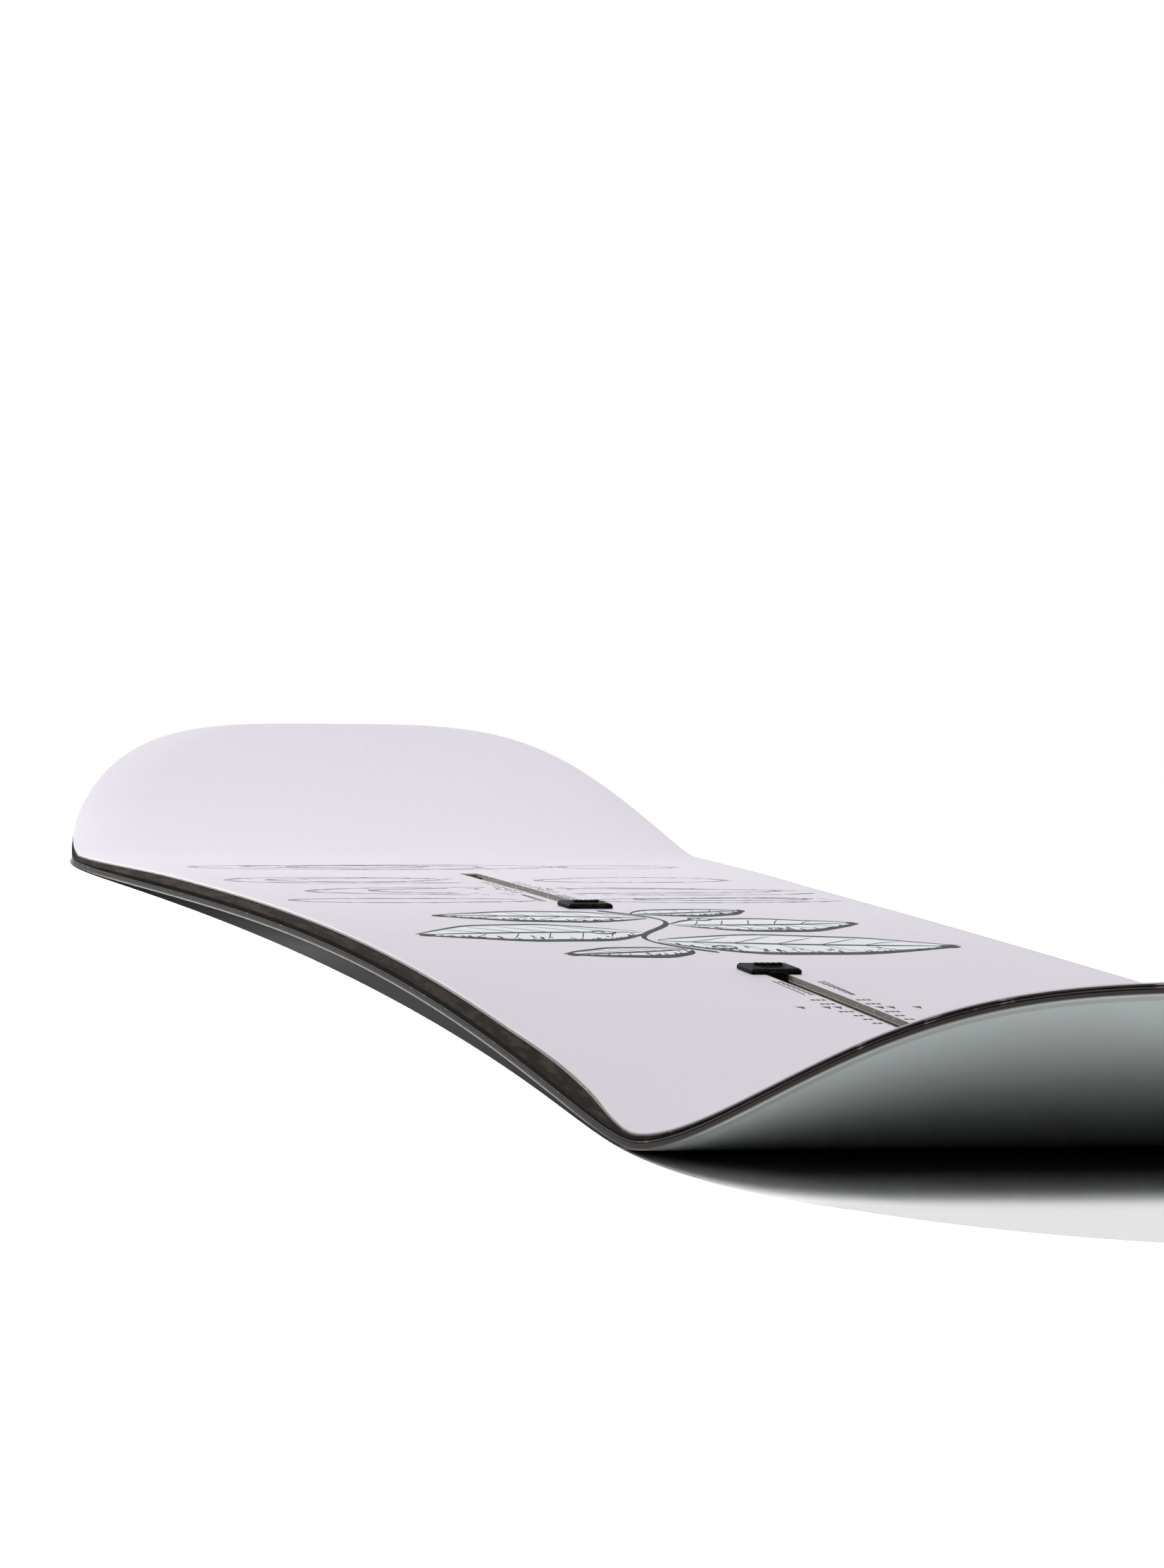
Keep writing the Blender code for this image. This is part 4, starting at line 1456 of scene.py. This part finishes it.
# Painted shadow on the paper under the board, in lines of (place along the board, tone): tones to the
# camera, tones to bounced light, and the share and tone of an even glow for the camera alone
shade = {
    "tones": ("seen", "bounce", "flat", "glow"),
    "outset": 0.0008,
    "gain": 1.3,
    "tipReach": 0.214, "tipPower": 0.47, "tipSteps": 40,
    "shares": (1, 0.985, 0.96, 0.93, 0.89, 0.84, 0.78, 0.5, 0),
    # painted shade that glows for the camera alone in the gap under the board's sides
    "gapSpan": (0.024, 0.012),
    "gapTone": (
        (-0.42, 0.02), (-0.30, 0.034), (-0.20, 0.06), (-0.10, 0.105),
        (0.02, 0.068), (0.24, 0.062), (0.40, 0.052), (0.55, 0.03),
    ),
    "leadWidth": 0.03,
    "lead": ((0.58, 0.05), (0.64, 0.035), (0.67, 0.018), (0.72, 0.01)),
    # share and tone of a glow, for the camera alone, that paints the pale part of the shadow beyond
    # the tail
    "flat": ((0.675, 0), (0.684, 0.07), (0.693, 0.26), (0.702, 0.62), (0.712, 1)),
    "flatTone": 0.775,
    # painted shadow tones to the camera, and tones that darken the light bounced from under the board
    "seen": ((0.60, 0.12), (0.625, 0.15), (0.67, 0.70), (0.70, 1.7), (0.74, 1.0)),
    "bounce": ((0.60, 0.0), (0.70, 0.004), (0.735, 0.05), (0.76, 1.3), (0.79, 3.9)),
    "tint": (1.02, 1.0, 1.0),
}
lamps = {
    "overhead": {
        "place": (0.75, 0, 2.2), "aim": (0.75, 0, 0), "size": (3.8, 1.9),
        "level": 55, "spread": 180, "color": (1, 1, 1),
    },
    "noseFront": {
        "place": (1.0, 0.4, 2.3), "aim": (-0.85, 0, 0.04), "size": (0.7, 0.7),
        "level": 1.05, "spread": 32, "color": (0.93, 1, 0.97),
    },
    "noseBack": {
        "place": (-1.6, -0.5, 0.7), "aim": (-0.60, -0.10, 0.02), "size": (0.4, 0.4),
        "level": 0.50, "spread": 40, "color": (1, 0.99, 0.97),
    },
}


def startPaper(name):
    material = bpy.data.materials.new(name)
    material.use_nodes = True
    material.node_tree.nodes.clear()
    return material, addNode(material, "LightPath").outputs


def finishPaper(material, isSeen, tone, share, glow):
    # diffuse paper, which a share turns to an even glow for the camera alone
    paper = addNode(material, "BsdfDiffuse", {"Color": tone}).outputs["BSDF"]
    even = addNode(material, "Emission", {"Strength": glow}).outputs["Emission"]
    share = addMath(material, "MULTIPLY", share, isSeen)
    mix = addNode(material, "MixShader", {0: share, 1: paper, 2: even})
    addNode(material, "OutputMaterial", {"Surface": mix.outputs["Shader"]})
    return material


def makeFloor():
    # pale paper, lighter to the camera, running out to white around; a painted shade turns it dark
    # before the tail, to reflections and bounced light alone
    material, path = startPaper("paleFloor")
    where = addNode(material, "TexCoord").outputs["Object"]
    x = addAxis(material, "X")
    tones = (studio["floorColor"], studio["darkFloor"])
    paper = addRange(material, x, studio["darkSpan"], tones)
    mirrored = addRange(material, x, studio["mirrorSpan"], tones)
    paper = blend(material, path["Is Glossy Ray"], paper, mirrored)
    tone = blend(material, path["Is Camera Ray"], paper, studio["cameraGain"])
    away = addNode(material, "VectorMath", {"Vector": where}, operation="LENGTH").outputs["Value"]
    share = addRange(material, away, studio["whiteSpan"])
    return finishPaper(material, path["Is Camera Ray"], tone, share, 1)


def makePaintedShadow():
    # painted shadow on the paper under the board: its tones, as seen and as it throws light back, are
    # kept per point
    material, path = startPaper("paintedShadowPaper")
    kept = [addNode(material, "Attribute", attribute_name=name) for name in shade["tones"]]
    seen, bounce, flat, glow = [node.outputs["Fac"] for node in kept]
    tone = blend(material, path["Is Camera Ray"], bounce, seen)
    tone = multiply(material, tone, shade["tint"])
    return finishPaper(material, path["Is Camera Ray"], tone, flat, glow)


def readLine(stops, place):
    # a value read off a line of (place, value) stops
    if place <= stops[0][0]:
        return stops[0][1]
    for (low, first), (high, second) in zip(stops, stops[1:]):
        if place <= high:
            return first + (second - first) * (place - low) / (high - low)
    return stops[-1][1]


def shadeHalf(x):
    tip = nose if x < board["waistSetback"] else tail
    past = (x - widestX(tip)) * tip["sign"] / shade["tipReach"]
    half = halfWidth(x) + shade["outset"] if abs(x) <= halfLength else 0
    if past > 0:
        half = max(half, tip["width"] / 2 * max(1 - past**2, 0) ** shade["tipPower"])
    return half


def addPaintedShadow():
    # a painted shadow: a sheet whose outline runs just outside the board's own, with its tones kept
    # per point
    places = [point[0] for point in sideLine if widestX(nose) < point[0] < widestX(tail)]
    for tip in (nose, tail):
        for step in range(shade["tipSteps"] + 1):
            turn = math.pi / 2 * step / shade["tipSteps"]
            places.append(widestX(tip) + tip["sign"] * shade["tipReach"] * math.sin(turn))
    places.sort()
    rim = len(shade["shares"]) - 1
    sheet = addGrid("paintedShadowSheet", len(places) - 1, 2 * rim)
    for name in shade["tones"]:
        sheet.data.attributes.new(name, "FLOAT", "POINT")
    seen, bounce, flat, glow = [sheet.data.attributes[name].data for name in shade["tones"]]
    for vert in sheet.data.vertices:
        x = places[round(vert.co.x)]
        row = round(vert.co.y) - rim
        share = shade["shares"][rim - abs(row)]
        half = shadeHalf(x)
        inset = half * (1 - share)
        lead = readLine(shade["lead"], abs(x)) * max(1 - inset / shade["leadWidth"], 0)
        gap = shareOf(inset, shade["gapSpan"]) * clamp((widestX(tail) - abs(x)) / shade["leadWidth"])
        tone = readLine(shade["gapTone"], x) if gap > 0 else shade["flatTone"]
        seen[vert.index].value = readLine(shade["seen"], abs(x) + lead) * shade["gain"]
        bounce[vert.index].value = readLine(shade["bounce"], abs(x)) * studio["floorColor"]
        flat[vert.index].value = max(gap, readLine(shade["flat"], abs(x) + lead))
        glow[vert.index].value = tone
        vert.co = (x, math.copysign(half * share, row), -studio["floorDrop"] / 2)
    sheet.data.materials.append(makePaintedShadow())


def addFloor():
    place = (0, 0, -studio["floorDrop"])
    bpy.ops.object.select_all(action="DESELECT")
    bpy.ops.mesh.primitive_plane_add(size=studio["floorSize"], location=place)
    floor = nameNew("studioFloor")
    applyPlace()
    floor.data.materials.append(makeFloor())
    addPaintedShadow()


def addSky():
    # white to the camera, and in reflections where the backdrop stands, behind the nose
    world = bpy.data.worlds.new("studioSky")
    bpy.context.scene.world = world
    world.use_nodes = True
    path = addNode(world, "LightPath").outputs
    x = addAxis(world, "X", "Generated")
    backdrop = addRange(world, x, studio["backdropSpan"], (studio["darkRoom"], 1))
    mirrored = addMath(world, "MAXIMUM", path["Is Glossy Ray"], path["Is Transmission Ray"])
    strength = blend(world, mirrored, studio["skyForObjects"], backdrop)
    strength = blend(world, path["Is Camera Ray"], strength, 1)
    back = world.node_tree.nodes["Background"].inputs
    feed(world, back["Strength"], strength)
    feed(world, back["Color"], (1, 1, 1))


def addLamps():
    for name, lamp in lamps.items():
        data = bpy.data.lights.new(name, "AREA")
        data.shape = "RECTANGLE"
        data.size, data.size_y = lamp["size"]
        data.energy = lamp["level"]
        data.color = lamp["color"]
        data.spread = math.radians(lamp["spread"])
        item = bpy.data.objects.new(name, data)
        aim = Vector(lamp["aim"]) - Vector(lamp["place"])
        turn = aim.to_track_quat("-Z", "Y").to_matrix().to_4x4()
        item.matrix_world = Matrix.Translation(lamp["place"]) @ turn
        bpy.context.scene.collection.objects.link(item)


addCamera()
addFloor()
addSky()
addLamps()
bpy.context.scene.view_settings.view_transform = "Standard"
print("camera, floor and light set")
